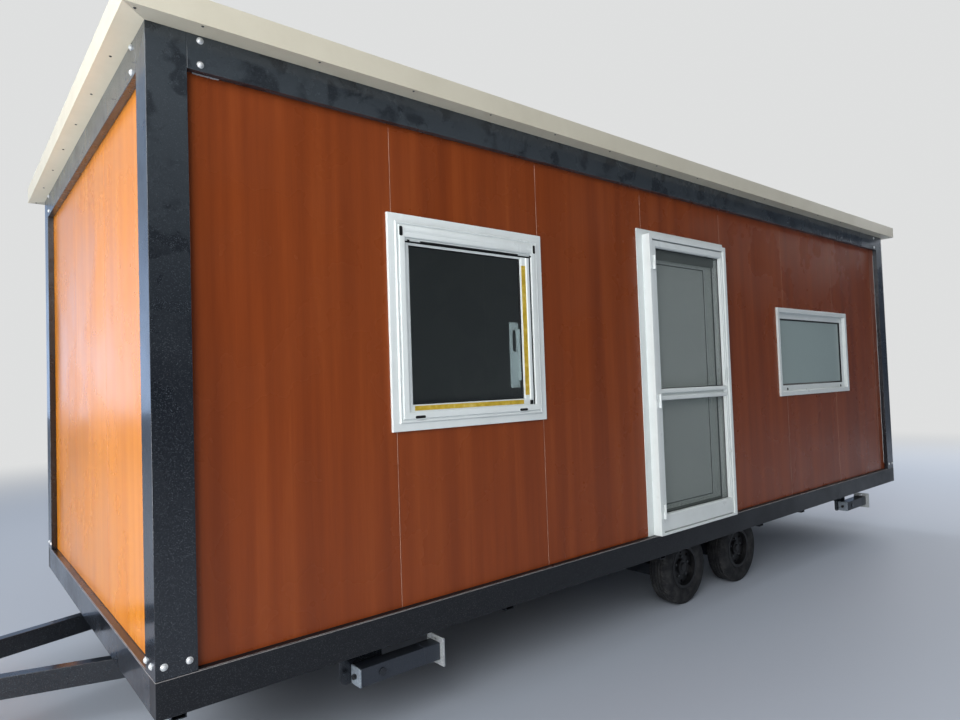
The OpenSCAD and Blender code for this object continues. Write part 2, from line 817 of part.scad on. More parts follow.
// Lining in the wall: jambs, head and threshold
module door_lining() {
    color(white_colour) in_cabin() difference() {
        translate([hole_x, set_back, sill_h])
            cube([hole_w, wall_t + lining_out, hole_top - sill_h]);
        translate([hole_x + lining_w, set_back - cut, sill_h + threshold_h])
            cube([hole_w - 2*lining_w, wall_t + lining_out + 2*cut,
                hole_top - sill_h - threshold_h - lining_w]);
    }
}

// Fixed half of a hinge: pin up through the moving knuckle, lower knuckle, leaf plate
module fixed_hinges(x, y, plate_x, plate_y, plate_w, zs) {
    for (z = zs) {
        translate([x, y, z]) cylinder(r = pin_r, h = 2*knuckle_h, $fn = 32);
        translate([x, y, z]) cylinder(r = knuckle_r, h = knuckle_h - slip, $fn = 32);
        translate([plate_x, plate_y, z]) cube([plate_w, hinge_t, knuckle_h - slip]);
        translate([x - knuckle_r, min(y, plate_y), z])
            cube([knuckle_r, abs(plate_y - y) + 1, knuckle_h - slip]);
    }
}

// Moving half of a hinge: upper knuckle with its bore and its plate
module moving_hinges(x, y, plate_x, plate_y, plate_w, zs) {
    for (z = zs) difference() {
        union() {
            translate([x, y, z + knuckle_h]) cylinder(r = knuckle_r, h = knuckle_h, $fn = 32);
            translate([plate_x, plate_y, z + knuckle_h]) cube([plate_w, hinge_t, knuckle_h]);
            translate([x, min(y, plate_y), z + knuckle_h])
                cube([knuckle_r, abs(plate_y - y) + 1, knuckle_h]);
        }
        translate([x, y, z + knuckle_h - cut])
            cylinder(r = pin_r + run_clear, h = knuckle_h + 2*cut, $fn = 32);
    }
}

module screen_hinge_pins() {
    color(white_colour) in_cabin()
        fixed_hinges(screen_axis_x, screen_axis_y, door_x + 4, box_y - hinge_t, box_w - 6,
            hinge_zs);
}

module screen_hinge_leaves() {
    color(white_colour) in_cabin() moving_hinges(screen_axis_x, screen_axis_y,
        screen_axis_x + 2, leaf_y - hinge_t, hinge_w, hinge_zs);
}

module lining_hinge_pins() {
    color(zinc_colour) in_cabin() fixed_hinges(inner_axis_x, inner_axis_y,
        inner_axis_x - hinge_w + 4, wall_in + lining_out, hinge_w - 4, hinge_zs);
}

module inner_hinge_leaves() {
    color(zinc_colour) in_cabin() moving_hinges(inner_axis_x, inner_axis_y,
        inner_axis_x + 4, inner_y + inner_t, hinge_w, hinge_zs);
}

// The two fields of the screen door, as lower and upper height
fields = [[leaf_z + kick_h, mid_rail_z], [mid_rail_z + mid_rail_h, leaf_z + leaf_h - stile_w]];

// Screen door: stepped stiles and rails, middle rail with a groove between its two strips
module screen_door_frame() {
    field_w = leaf_w - stile_w - lock_stile_w;
    color(white_colour) in_cabin() difference() {
        translate([leaf_x, leaf_y, leaf_z]) cube([leaf_w, leaf_d, leaf_h]);
        for (z = fields) {
            translate([leaf_x + stile_w, leaf_y - cut, z[0]])
                cube([field_w, leaf_d + 2*cut, z[1] - z[0]]);
            translate([leaf_x + stile_w - bead_w, leaf_y - cut, z[0] - bead_w/2])
                cube([field_w + 2*bead_w, 4 + cut, z[1] - z[0] + bead_w]);
        }
        translate([leaf_x + stile_w, leaf_y - cut, mid_rail_z + mid_rail_h*0.37])
            cube([field_w, leaf_d*0.6 + cut, mid_rail_h*0.26]);
    }
}

module screen_door_mesh() {
    color(mesh_colour) in_cabin() for (z = fields)
        translate([leaf_x + stile_w, leaf_y + leaf_d - screen_back - screen_t, z[0]])
            cube([leaf_w - stile_w - lock_stile_w, screen_t, z[1] - z[0]]);
}

// Inner leaf with a handle plate on each face
module inner_door_leaf() {
    color(white_colour) in_cabin() {
        translate([inner_x, inner_y, inner_z]) cube([inner_w, inner_t, inner_h]);
        for (y = [inner_y - handle_size[1], inner_y + inner_t])
            translate([inner_x + inner_w - handle_in - handle_size[0]/2, y,
                    handle_z - handle_size[2]/2])
                cube(handle_size);
    }
}

// Tyre: hollow carcass with bead seats, rounded shoulders and four grooves in the tread
module tyre_solid() {
    half = tyre_w/2;
    rotate([90, 0, 0]) rotate_extrude($fn = 96) difference() {
        polygon([[rim_r - 6, 16 - half], [rim_r + 9, 16 - half], [rim_r + 15, 4 - half],
            [tyre_r - 60, -half], [tyre_r - 22, 5 - half], [tyre_r - 6, 18 - half],
            [tyre_r, 26 - half], [tyre_r, half - 26], [tyre_r - 6, half - 18],
            [tyre_r - 22, half - 5], [tyre_r - 60, half], [rim_r + 15, half - 4],
            [rim_r + 9, half - 16], [rim_r - 6, half - 16]]);
        polygon([[rim_r - 7, 30 - half], [rim_r + 14, 22 - half], [tyre_r - 60, 11 - half],
            [tyre_r - 24, 20 - half], [tyre_r - 16, 30 - half], [tyre_r - 16, half - 30],
            [tyre_r - 24, half - 20], [tyre_r - 60, half - 11], [rim_r + 14, half - 22],
            [rim_r - 7, half - 30]]);
        for (i = [-1.5:1:1.5]) translate([tyre_r - tread_d, i*tread_pitch - tread_gap/2])
            square([tread_d + cut, tread_gap]);
    }
}

// Rim: barrel with flanges, disc set in from the outer edge, hub closed by a cap
module rim_solid() {
    half = tyre_w/2 - 12.5;
    disc_v = half - disc_in;
    difference() {
        rotate([90, 0, 0]) rotate_extrude($fn = 96) {
            for (v = [-half, half - rim_edge_t]) translate([rim_r - 12, v])
                square([20, rim_edge_t]);
            translate([rim_r - 12, -half]) square([5.7, 2*half]);
            translate([stub_r + run_clear, disc_v - disc_t])
                square([rim_r - 10 - stub_r, disc_t]);
            translate([stub_r + run_clear, disc_v - 40]) square([hub_r - stub_r, 50]);
            translate([0, disc_v + 10]) square([hub_r, hub_cap_t]);
        }
        for (a = [0:360/rim_holes:359]) rotate([0, a, 0])
            translate([rim_r - rim_hole_in, -disc_v - cut, 0]) rotate([-90, 0, 0])
                cylinder(r = rim_hole_r, h = disc_t + 2*cut, $fn = 24);
    }
}

module wheel_place(i) {
    in_cabin() translate([axle_x + i*axle_gap, tyre_in + tyre_w/2, wheel_z]) children();
}

module tyre_front_near() { color(rubber_colour) wheel_place(0) tyre_solid(); }
module tyre_front_far() { color(rubber_colour) mirror([0, 1, 0]) wheel_place(0) tyre_solid(); }
module tyre_rear_near() { color(rubber_colour) wheel_place(1) tyre_solid(); }
module tyre_rear_far() { color(rubber_colour) mirror([0, 1, 0]) wheel_place(1) tyre_solid(); }
module rim_front_near() { color(steel_colour) wheel_place(0) rim_solid(); }
module rim_front_far() { color(steel_colour) mirror([0, 1, 0]) wheel_place(0) rim_solid(); }
module rim_rear_near() { color(steel_colour) wheel_place(1) rim_solid(); }
module rim_rear_far() { color(steel_colour) mirror([0, 1, 0]) wheel_place(1) rim_solid(); }

// Outer tube of a steady leg with its pivot bore and the cap at its head
module leg_solid(x) {
    translate([x, leg_in, -leg_drop - leg_w/2]) difference() {
        union() {
            tube_x(leg_l, leg_w, leg_w, steel_t);
            translate([-cap_t, -cap_lap, -cap_lap])
                cube([cap_t, leg_w + 2*cap_lap, leg_w + 2*cap_lap]);
            translate([-cap_t - stub_l, leg_w/2, leg_w/2]) rotate([0, 90, 0])
                cylinder(r = 9, h = stub_l + 1, $fn = 32);
        }
        translate([leg_head, -cut, leg_w/2]) rotate([-90, 0, 0])
            cylinder(r = pivot_r + run_clear, h = leg_w + 2*cut, $fn = 48);
    }
}

// Square of half width h with its corners clipped by c
module foot_outline(h, c) {
    polygon([[-h, c - h], [c - h, -h], [h - c, -h], [h, c - h], [h, h - c], [h - c, h],
        [c - h, h], [-h, h - c]]);
}

// Inner tube of a steady leg with its foot plate
module foot_solid(x) {
    inner_l = leg_reach - foot_t - inner_start;
    translate([x + inner_start, leg_mid_y - inner_leg_w/2, -leg_drop - inner_leg_w/2])
        tube_x(inner_l, inner_leg_w, inner_leg_w, steel_t);
    translate([x + leg_reach - foot_t, leg_mid_y, -leg_drop]) rotate([90, 0, 90])
        linear_extrude(foot_t) foot_outline(foot_w/2, foot_clip);
}

module leg_front_near() { color(steel_colour) in_cabin() leg_solid(leg_xs[0]); }
module leg_front_far() { color(steel_colour) in_cabin() far_side() leg_solid(leg_xs[0]); }
module leg_rear_near() { color(steel_colour) in_cabin() leg_solid(leg_xs[1]); }
module leg_rear_far() { color(steel_colour) in_cabin() far_side() leg_solid(leg_xs[1]); }
module foot_front_near() { color(zinc_colour) in_cabin() foot_solid(leg_xs[0]); }
module foot_front_far() { color(zinc_colour) in_cabin() far_side() foot_solid(leg_xs[0]); }
module foot_rear_near() { color(zinc_colour) in_cabin() foot_solid(leg_xs[1]); }
module foot_rear_far() { color(zinc_colour) in_cabin() far_side() foot_solid(leg_xs[1]); }

chassis_rails();
cross_beams();
drawbar_arm_near();
drawbar_arm_far();
towing_eye();
nose_support();
axle_beams();
leg_brackets();
side_sills();
end_sills();
floor_joists();
floor_deck();
corner_posts();
side_top_beams();
end_top_beams();
roof_panels();
roof_fascia_sides();
roof_fascia_ends();
front_wall_left();
front_wall_over_door();
front_wall_right();
back_wall();
drawbar_end_wall();
rear_end_wall();
large_window_frame();
large_window_sash();
small_window_frame();
small_window_sash();
window_glass();
door_surround();
door_lining();
screen_hinge_pins();
lining_hinge_pins();
screen_door_frame();
screen_door_mesh();
screen_hinge_leaves();
inner_door_leaf();
inner_hinge_leaves();
tyre_front_near();
tyre_front_far();
tyre_rear_near();
tyre_rear_far();
rim_front_near();
rim_front_far();
rim_rear_near();
rim_rear_far();
leg_front_near();
leg_front_far();
leg_rear_near();
leg_rear_far();
foot_front_near();
foot_front_far();
foot_rear_near();
foot_rear_far();
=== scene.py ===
import bmesh
import bpy
import functools
import json
import math
import mathutils
import numpy as np
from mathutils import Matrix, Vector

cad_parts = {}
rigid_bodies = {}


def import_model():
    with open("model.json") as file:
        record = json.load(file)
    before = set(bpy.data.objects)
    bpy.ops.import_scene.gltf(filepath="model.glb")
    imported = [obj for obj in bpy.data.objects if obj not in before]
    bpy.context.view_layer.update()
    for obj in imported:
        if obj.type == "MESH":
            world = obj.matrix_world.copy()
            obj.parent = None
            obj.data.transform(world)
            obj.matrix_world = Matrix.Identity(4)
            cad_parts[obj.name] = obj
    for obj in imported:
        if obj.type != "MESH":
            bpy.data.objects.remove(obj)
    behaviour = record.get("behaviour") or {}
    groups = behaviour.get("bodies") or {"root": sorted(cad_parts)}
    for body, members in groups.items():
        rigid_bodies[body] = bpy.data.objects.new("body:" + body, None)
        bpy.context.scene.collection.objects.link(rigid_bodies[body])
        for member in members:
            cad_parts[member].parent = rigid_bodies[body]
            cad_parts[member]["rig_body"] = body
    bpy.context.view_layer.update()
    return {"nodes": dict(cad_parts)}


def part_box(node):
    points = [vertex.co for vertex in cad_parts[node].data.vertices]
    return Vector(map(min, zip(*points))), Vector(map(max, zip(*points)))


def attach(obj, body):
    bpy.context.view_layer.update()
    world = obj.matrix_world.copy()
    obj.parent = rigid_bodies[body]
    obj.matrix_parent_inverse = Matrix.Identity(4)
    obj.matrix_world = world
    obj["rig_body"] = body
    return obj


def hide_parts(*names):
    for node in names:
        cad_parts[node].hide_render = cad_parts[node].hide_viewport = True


# Looks of a portable site cabin. Lengths are millimetres of the cabin: x from the towing end,
# y from the door side inwards, z from the underside of the sills. toFrame() places them.
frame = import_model()
mm = 0.001
sillLow, sillHigh = (np.array(corner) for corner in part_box("side_sills"))
bodyLength, bodyWidth, sillHeight = (sillHigh - sillLow) / mm
wheelPlaces = ("front_near", "front_far", "rear_near", "rear_far")
print("cabin", round(bodyLength), "by", round(bodyWidth), "mm, sills", round(sillLow[2] / mm), "up")


def toFrame(points):
    # place in the row frame = low corner of the sills + 0.001 * point
    return sillLow + mm * np.asarray(points, float)


def nodeBox(name):
    # low and high corner of a CAD node in cabin millimetres
    low, high = (np.array(corner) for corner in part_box(name))
    return (low - sillLow) / mm, (high - sillLow) / mm


# Shapes: each is (points as an n by 3 array in cabin millimetres, list of faces)

def gridFaces(rows, columns, wrapRows=False, wrapColumns=False):
    # face (i, j) joins grid points (i, j), (i+1, j), (i+1, j+1), (i, j+1); a wrapped side closes
    i, j = np.meshgrid(np.arange(rows - (not wrapRows)), np.arange(columns - (not wrapColumns)),
                       indexing="ij")
    down, along = (i + 1) % rows, (j + 1) % columns
    corners = [i * columns + j, down * columns + j, down * columns + along, i * columns + along]
    return np.stack(corners, -1).reshape(-1, 4).tolist()


def joined(shapes):
    # one shape from several: points stacked, face indices shifted by the points before them
    points = np.concatenate([shape[0] for shape in shapes])
    starts = np.cumsum([0] + [len(shape[0]) for shape in shapes[:-1]])
    faces = [[k + int(start) for k in face] for shape, start in zip(shapes, starts)
             for face in shape[1]]
    return points, faces


def block(x0, x1, y0, y1, z0, z1):
    # eight corners (x_i, y_j, z_k) and the six sides between them
    points = np.array([[x, y, z] for x in (x0, x1) for y in (y0, y1) for z in (z0, z1)], float)
    faces = [[0, 1, 3, 2], [4, 6, 7, 5], [0, 4, 5, 1], [2, 3, 7, 6], [0, 2, 6, 4], [1, 5, 7, 3]]
    return points, faces


def loops(outlines, levels, axis):
    # one loop of points per outline (a, b), at its level along the axis; a and b are the others
    points = np.zeros((len(levels), len(outlines[0]), 3))
    points[:, :, [k for k in range(3) if k != axis]] = outlines
    points[:, :, axis] = np.array(levels, float)[:, None]
    return points.reshape(-1, 3)


def prism(outline, start, end, axis):
    # the outline carried from start to end along the axis, with both ends closed
    count = len(outline)
    caps = [list(range(count)), list(range(2 * count - 1, count - 1, -1))]
    return (loops([outline, outline], (start, end), axis),
            gridFaces(2, count, False, True) + caps)


def holedPlate(outline, hole, start, end, axis):
    # four loops: outline at both ends and hole at both ends, each with as many points
    return (loops([outline, outline, hole, hole], (start, end, end, start), axis),
            gridFaces(4, len(outline), True, True))


def mitredRing(spans, grown, profile):
    # corner k of the rectangle x0, x1, z0, z1 grown by that much, plus profile (u, y):
    # place = corner_k + u * (inward diagonal_k), y
    x0, x1, z0, z1 = spans
    profile = np.asarray(profile, float)
    inward = np.array([[1, 1], [-1, 1], [-1, -1], [1, -1]], float)
    corners = np.array([[x0, z0], [x1, z0], [x1, z1], [x0, z1]], float) - grown * inward
    plane = corners[:, None] + profile[None, :, :1] * inward[:, None]
    points = np.stack([plane[..., 0], np.broadcast_to(profile[:, 1], plane.shape[:2]),
                       plane[..., 1]], -1)
    return points.reshape(-1, 3), gridFaces(4, len(profile), True, True)


def revolved(profile, centre, axis, steps):
    # profile (r, t) turned about the axis: centre + t * axis + r * (cos a * e1 + sin a * e2)
    profile = np.asarray(profile, float)
    axis = np.array(axis, float)
    first = np.cross(axis, [0, 0, 1] if abs(axis[2]) < 0.9 else [1, 0, 0])
    angle = np.linspace(0, 2 * math.pi, steps, endpoint=False)[:, None]
    spoke = np.cos(angle) * first + np.sin(angle) * np.cross(axis, first)
    points = (np.array(centre, float) + profile[None, :, 1:] * axis
              + profile[None, :, :1] * spoke[:, None])
    return points.reshape(-1, 3), gridFaces(steps, len(profile), True)


def roundedOutline(a0, a1, b0, b1, radius, steps=5):
    # corner k: centre_k + radius * (cos t, sin t) over its quarter turn
    centres = np.array([[a1 - radius, b1 - radius], [a0 + radius, b1 - radius],
                        [a0 + radius, b0 + radius], [a1 - radius, b0 + radius]])
    angle = np.linspace(0, math.pi / 2, steps)[None] + np.arange(4)[:, None] * math.pi / 2
    quarter = radius * np.stack([np.cos(angle), np.sin(angle)], -1)
    return (centres[:, None] + quarter).reshape(-1, 2)


def squareOutline(centre, half, radius, steps=5):
    # a square of half width half, with rounded corners, round the centre (a, b)
    a, b = centre
    return roundedOutline(a - half, a + half, b - half, b + half, radius, steps)


def roundOutline(centre, radius, steps, phase=0.0):
    # centre + radius * (cos, sin) of 2 pi (k + phase) / steps
    angle = (np.arange(steps) + phase) * 2 * math.pi / steps
    return np.array(centre) + radius * np.stack([np.cos(angle), np.sin(angle)], -1)


def domeHead(centre, axis, radius, washer, height, steps):
    # dome r = radius * cos a, t = 2 + (height - 2) * sin a, standing on a washer 2 mm thick
    angle = np.linspace(math.pi / 2, 0, 6)
    dome = np.stack([radius * np.cos(angle), 2 + (height - 2) * np.sin(angle)], -1)
    profile = np.concatenate([dome, [[washer - 0.6, 2], [washer, 1.4], [washer, -1], [0, -1]]])
    return revolved(profile, centre, axis, steps)


def tube(path, radius, steps=16):
    # circle round each place of the path, in the plane across the path's direction there
    path = np.asarray(path, float)
    ahead = np.gradient(path, axis=0)
    ahead /= np.linalg.norm(ahead, axis=1)[:, None]
    level = np.cross(ahead, [0, 0, 1])
    level /= np.linalg.norm(level, axis=1)[:, None]
    above = np.cross(level, ahead)
    angle = np.linspace(0, 2 * math.pi, steps, endpoint=False)[:, None]
    points = path[:, None] + radius * (np.cos(angle) * level[:, None]
                                       + np.sin(angle) * above[:, None])
    last = (len(path) - 1) * steps
    ends = [list(range(steps)), list(range(last, last + steps))]
    return points.reshape(-1, 3), gridFaces(len(path), steps, False, True) + ends


# Pieces: a finish is (material, slot name). Distances here are metres, and angles are degrees.
meshCare = {"merge": 2e-6, "copyMerge": 5e-6, "sliver": 1e-7, "flat": 0.5, "bevelFrom": 28,
            "bevelSteps": 3}


def makePiece(name, shape, finish, body="cabin", replaces=(), bevel=0, sharpAngle=30):
    # one object at the origin with its place in its mesh
    mesh = bpy.data.meshes.new(name)
    mesh.from_pydata(toFrame(shape[0]).tolist(), [], shape[1])
    return finishPiece(name, mesh, finish, body, replaces, bevel, sharpAngle)


def finishPiece(name, mesh, finish, body, replaces, bevel, sharpAngle=30):
    # doubles merged, faces turned outwards, edges rounded by a live bevel
    work = bmesh.new()
    work.from_mesh(mesh)
    bmesh.ops.remove_doubles(work, verts=work.verts, dist=meshCare["merge"])
    bmesh.ops.dissolve_degenerate(work, dist=meshCare["sliver"], edges=work.edges)
    bmesh.ops.recalc_face_normals(work, faces=work.faces)
    work.to_mesh(mesh)
    work.free()
    mesh.polygons.foreach_set("use_smooth", np.ones(len(mesh.polygons), bool))
    mesh.set_sharp_from_angle(angle=math.radians(sharpAngle))
    mesh.materials.clear()
    mesh.materials.append(finish[0])
    piece = addObject(name, mesh)
    if bevel:
        modifier = piece.modifiers.new("roundedEdges", "BEVEL")
        modifier.width = bevel * mm
        modifier.segments = meshCare["bevelSteps"]
        modifier.limit_method = "ANGLE"
        modifier.angle_limit = math.radians(meshCare["bevelFrom"])
        modifier.harden_normals = True
    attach(piece, body)
    if replaces:
        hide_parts(*replaces)
    return piece


def addObject(name, data):
    made = bpy.data.objects.new(name, data)
    bpy.context.scene.collection.objects.link(made)
    return made


def softCopy(node, finish, bevel):
    # a copy of a CAD node with its loose triangles joined to flat faces and its edges rounded
    source = frame["nodes"][node]
    mesh = source.data.copy()
    work = bmesh.new()
    work.from_mesh(mesh)
    bmesh.ops.remove_doubles(work, verts=work.verts, dist=meshCare["copyMerge"])
    bmesh.ops.dissolve_limit(work, angle_limit=math.radians(meshCare["flat"]),
                             verts=work.verts, edges=work.edges)
    work.to_mesh(mesh)
    work.free()
    return finishPiece(node + "_finish", mesh, finish, source["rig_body"], (node,), bevel)


# Materials: a look's gloss is its least and greatest roughness, and its relief is a size in
# millimetres, detail, strength and height in millimetres

def linear(hexColour):
    # sRGB hex to linear: c / 12.92 below 0.04045, else ((c + 0.055) / 1.055) ** 2.4
    values = [int(hexColour[k:k + 2], 16) / 255 for k in (1, 3, 5)]
    return [c / 12.92 if c <= 0.04045 else ((c + 0.055) / 1.055) ** 2.4 for c in values] + [1]


def addNode(tree, kind, values):
    # a node with its properties and sockets set; a value that is a node, or a pair of a node and
    # its output, is linked. Map Range: 0 value, 1 and 2 from, 3 and 4 to. Mix: 0 share, 6 and 7
    # the colours, output 2.
    made = tree.nodes.new("ShaderNode" + kind)
    for key, value in values.items():
        source, output = value if isinstance(value, tuple) and len(value) == 2 else (value, 0)
        if isinstance(source, bpy.types.Node):
            tree.links.new(source.outputs[output], made.inputs[key])
        elif isinstance(key, int) or key in made.inputs:
            made.inputs[key].default_value = value
        else:
            setattr(made, key, value)
    return made


def startTree(owner):
    # an empty tree for a material or a world: what adds its nodes, and the place they read
    owner.use_nodes = True
    owner.node_tree.nodes.clear()
    add = functools.partial(addNode, owner.node_tree)
    return add, add("TexCoord", {})


def startMaterial(name):
    material = bpy.data.materials.new(name)
    add, place = startTree(material)
    return material, add, (place, "Object")


def surfaced(material, add, values):
    add("OutputMaterial", {"Surface": add("BsdfPrincipled", values)})
    return material


def colourRamp(add, source, stops):
    # colours between positions 0 and 1
    ramp = add("ValToRGB", {"Fac": source})
    elements = ramp.color_ramp.elements
    while len(elements) < len(stops):
        elements.new(0.5)
    for element, (position, colour) in zip(elements, stops):
        element.position = position
        element.color = linear(colour)
    return ramp


def noisePatches(add, place, scale, detail, roughness, span, values, distortion=0.0):
    # noise with the part between the span's ends stretched to the two values, and the bare noise
    noise = add("TexNoise", {"Vector": place, "Scale": scale, "Detail": detail,
                             "Roughness": roughness, "Distortion": distortion})
    return add("MapRange", {0: noise, 1: span[0], 2: span[1], 3: values[0], 4: values[1]}), noise


def fineRelief(add, place, size, detail, strength, height):
    # noise with waves of that size in millimetres, raised by that height
    waves = add("TexNoise", {"Vector": place, "Scale": 1000 / size, "Detail": detail})
    return add("Bump", {"Height": waves, "Strength": strength, "Distance": mm * height})


# Wood-grain film laminated on flat sheet steel: satin, grain upright in planks of about
# 160 mm, slightly wavy as thin sheet is. The inner skin of the same panel is plain white.
laminateLook = {"colours": [(0.32, "#703215"), (0.52, "#803b18"), (0.72, "#8f471f")],
                "gloss": (0.22, 0.37), "specular": 0.3, "plankWidth": 160, "plankTone": 0.07,
                "grainWidth": 7, "grainShare": 0.24, "bandWidth": 95, "uprightStretch": 0.03,
                "relief": (420, 1, 0.25, 4), "poreStrength": 0.05, "poreHeight": 0.6,
                "innerSkin": "#d9dbd6", "skinDepth": 60}
# The towing end's copy is lighter, more orange and glossier: painted light standing for the strong
# light on that end.
endLaminatePaintedLightLook = dict(laminateLook, specular=0.38, gloss=(0.19, 0.34), grainShare=0.16,
                       colours=[(0.32, "#c4741b"), (0.52, "#cf7f20"), (0.72, "#da8b2a")])


def woodGrainLaminate(name, look):
    material, add, place = startMaterial(name)
    parts = add("SeparateXYZ", {"Vector": place})
    across = add("Math", {"operation": "ADD", 0: (parts, "X"), 1: (parts, "Y")})
    upright = add("Math", {"operation": "MULTIPLY", 0: (parts, "Z"), 1: look["uprightStretch"]})
    flat = add("CombineXYZ", {"X": across, "Y": upright})
    bands = add("TexNoise", {"Vector": flat, "Scale": 1000 / look["bandWidth"], "Detail": 4,
                             "Roughness": 0.5})
    grain = add("TexNoise", {"Vector": flat, "Scale": 1000 / look["grainWidth"], "Detail": 6,
                             "Roughness": 0.7})
    mixed = add("Mix", {"data_type": "FLOAT", 0: look["grainShare"], 2: bands, 3: grain})
    # plank number = floor(across / plank width), and a random tone for each
    divided = add("Math", {"operation": "DIVIDE", 0: across, 1: mm * look["plankWidth"]})
    number = add("Math", {"operation": "FLOOR", 0: divided})
    tone = add("TexWhiteNoise", {"noise_dimensions": "1D", "W": number})
    toned = add("Math", {"operation": "MULTIPLY_ADD", 0: tone, 1: look["plankTone"], 2: mixed})
    evened = add("Math", {"operation": "SUBTRACT", 0: toned, 1: look["plankTone"] / 2})
    # inner skin where |x - middle| and |y - middle| both lie inside the panels' middle plane
    masks = []
    for axis, length in enumerate((bodyLength, bodyWidth)):
        moved = add("Math", {"operation": "SUBTRACT", 0: (parts, axis),
                             1: float(sillLow[axis]) + mm * length / 2})
        size = add("Math", {"operation": "ABSOLUTE", 0: moved})
        masks.append(add("Math", {"operation": "LESS_THAN", 0: size,
                                  1: mm * (length / 2 - look["skinDepth"])}))
    inside = add("Math", {"operation": "MULTIPLY", 0: masks[0], 1: masks[1]})
    skinned = add("Mix", {"data_type": "RGBA", 0: inside,
                          6: colourRamp(add, evened, look["colours"]),
                          7: linear(look["innerSkin"])})
    gloss = noisePatches(add, place, 2.3, 4, 0.5, (0.35, 0.7), look["gloss"])[0]
    pores = add("Bump", {"Height": grain, "Normal": fineRelief(add, place, *look["relief"]),
                         "Strength": look["poreStrength"], "Distance": mm * look["poreHeight"]})
    return surfaced(material, add, {"Base Color": (skinned, 2), "Roughness": gloss, "IOR": 1.5,
                                    "Normal": pores, "Specular IOR Level": look["specular"]})


# Sprayed two-pack paint on folded steel: semi-gloss, fine orange peel, dust specks, and grey
# smears of handling on the upper members, thickened with height as painted light from above.
paintLook = {"colour": "#17191d", "gloss": (0.15, 0.39), "specular": 0.5,
             "coat": 0.5, "coatRoughness": 0.1, "coatTint": "#cfdcec",
             "speck": "#8b9093", "speckSize": 3.4, "speckShare": 0.7,
             "relief": (5.0, 2, 0.14, 0.6),
             "smearAndTopLight": "#4d5254", "smearAndTopLightShare": 0.62, "smearSize": 120, "smearAndTopLightFrom": 1.7,
             "smearAndTopLightTo": 2.9, "smearWiped": 0.4}
# The sills' copy is darker, with less coat and specular: painted shade on the sills.
sillPaintShadedLook = dict(paintLook, colour="#14161a", gloss=(0.24, 0.48), specular=0.3, coat=0.1,
                     speckShare=0.4)
# The legs' copy is lighter: painted light on legs that stand in the cabin's shadow.
legPaintLitLook = dict(paintLook, colour="#2f343c", gloss=(0.34, 0.58), specular=0.35, coat=0.12,
                    speckShare=0.3, smearAndTopLightShare=0.0)
wheelPaintLook = dict(paintLook, colour="#101113", speck="#3d3f41", gloss=(0.32, 0.56), coat=0.0)


def sprayedSteel(name, look):
    material, add, place = startMaterial(name)
    gloss, smudge = noisePatches(add, place, 3.1, 6, 0.62, (0.3, 0.7), look["gloss"])
    # dust specks, drawn coarser than the real ones so that they show
    dusty = noisePatches(add, place, 1000 / look["speckSize"], 2, 0.5, (0.58, 0.74),
                         (0.0, look["speckShare"]))[0]
    patch = add("Math", {"operation": "MULTIPLY", 0: dusty, 1: smudge})
    mixed = add("Mix", {"data_type": "RGBA", 0: patch, 6: linear(look["colour"]),
                        7: linear(look["speck"])})
    # smears: a grey film in patches of noise, thicker with height; that rise with height is partly
    # painted light from above
    high = add("MapRange", {0: (add("SeparateXYZ", {"Vector": place}), "Z"),
                            1: look["smearAndTopLightFrom"], 2: look["smearAndTopLightTo"], 4: look["smearAndTopLightShare"]})
    wiped = noisePatches(add, place, 1000 / look["smearSize"], 5, 0.5, (0.52, 0.6),
                         (1.0, look["smearWiped"]), distortion=0.4)[0]
    share = add("Math", {"operation": "MULTIPLY", 0: wiped, 1: high})
    smearedAndTopLit = add("Mix", {"data_type": "RGBA", 0: share, 6: (mixed, 2), 7: linear(look["smearAndTopLight"])})
    return surfaced(material, add, {"Base Color": (smearedAndTopLit, 2), "Roughness": gloss, "IOR": 1.5,
                                    "Normal": fineRelief(add, place, *look["relief"]),
                                    "Specular IOR Level": look["specular"],
                                    "Coat Weight": look["coat"],
                                    "Coat Roughness": look["coatRoughness"],
                                    "Coat Tint": linear(look["coatTint"])})


# Coated aluminium or sheet: one colour with faint handling marks and fine texture.
creamLook = {"colour": "#cdc7b4", "mark": "#b1aa95", "gloss": (0.37, 0.5), "markScale": 2.2,
             "share": 0.4, "relief": (5.0, 1, 0.06, 0.4)}
roofLook = dict(creamLook, colour="#cdcabd", mark="#a09c88", gloss=(0.45, 0.58), share=0.55)
whiteLook = {"colour": "#dae0df", "mark": "#c3c9c6", "gloss": (0.25, 0.38), "markScale": 6.0,
             "share": 0.35, "relief": (2.5, 1, 0.06, 0.4)}
innerDoorLook = dict(whiteLook, colour="#d9e1dc", mark="#c3cbc7", gloss=(0.3, 0.43), markScale=3.0)
# Olive for the door's kick strips, and as painted shade for the strip across the lining's head.
oliveTrimAndShadeLook = dict(whiteLook, colour="#3c3c32", mark="#2c2b24", gloss=(0.45, 0.58), markScale=9.0)
jointBeadLook = dict(whiteLook, colour="#b28d7b", mark="#7c4a35", markScale=5.0, share=0.9)
# Grey for a strip along the sills' top outer edge: painted highlight where the edge catches light
# from above.
sillEdgeHighlightLook = dict(whiteLook, colour="#8d8a89", mark="#55565a", markScale=9.0, share=0.8)
foilLook = {"colour": "#b5babb", "mark": "#6f7475", "gloss": (0.28, 0.41), "markScale": 40.0,
            "share": 0.7, "relief": (2.0, 1, 0.06, 0.4)}


def coatedMetal(name, look):
    material, add, place = startMaterial(name)
    amount, mark = noisePatches(add, place, look["markScale"], 7, 0.65, (0.45, 0.8),
                                (0.0, look["share"]))
    mixed = add("Mix", {"data_type": "RGBA", 0: amount, 6: linear(look["colour"]),
                        7: linear(look["mark"])})
    gloss = add("MapRange", {0: mark, 1: 0.3, 2: 0.7, 3: look["gloss"][0], 4: look["gloss"][1]})
    return surfaced(material, add, {"Base Color": (mixed, 2), "Roughness": gloss, "IOR": 1.5,
                                    "Normal": fineRelief(add, place, *look["relief"])})


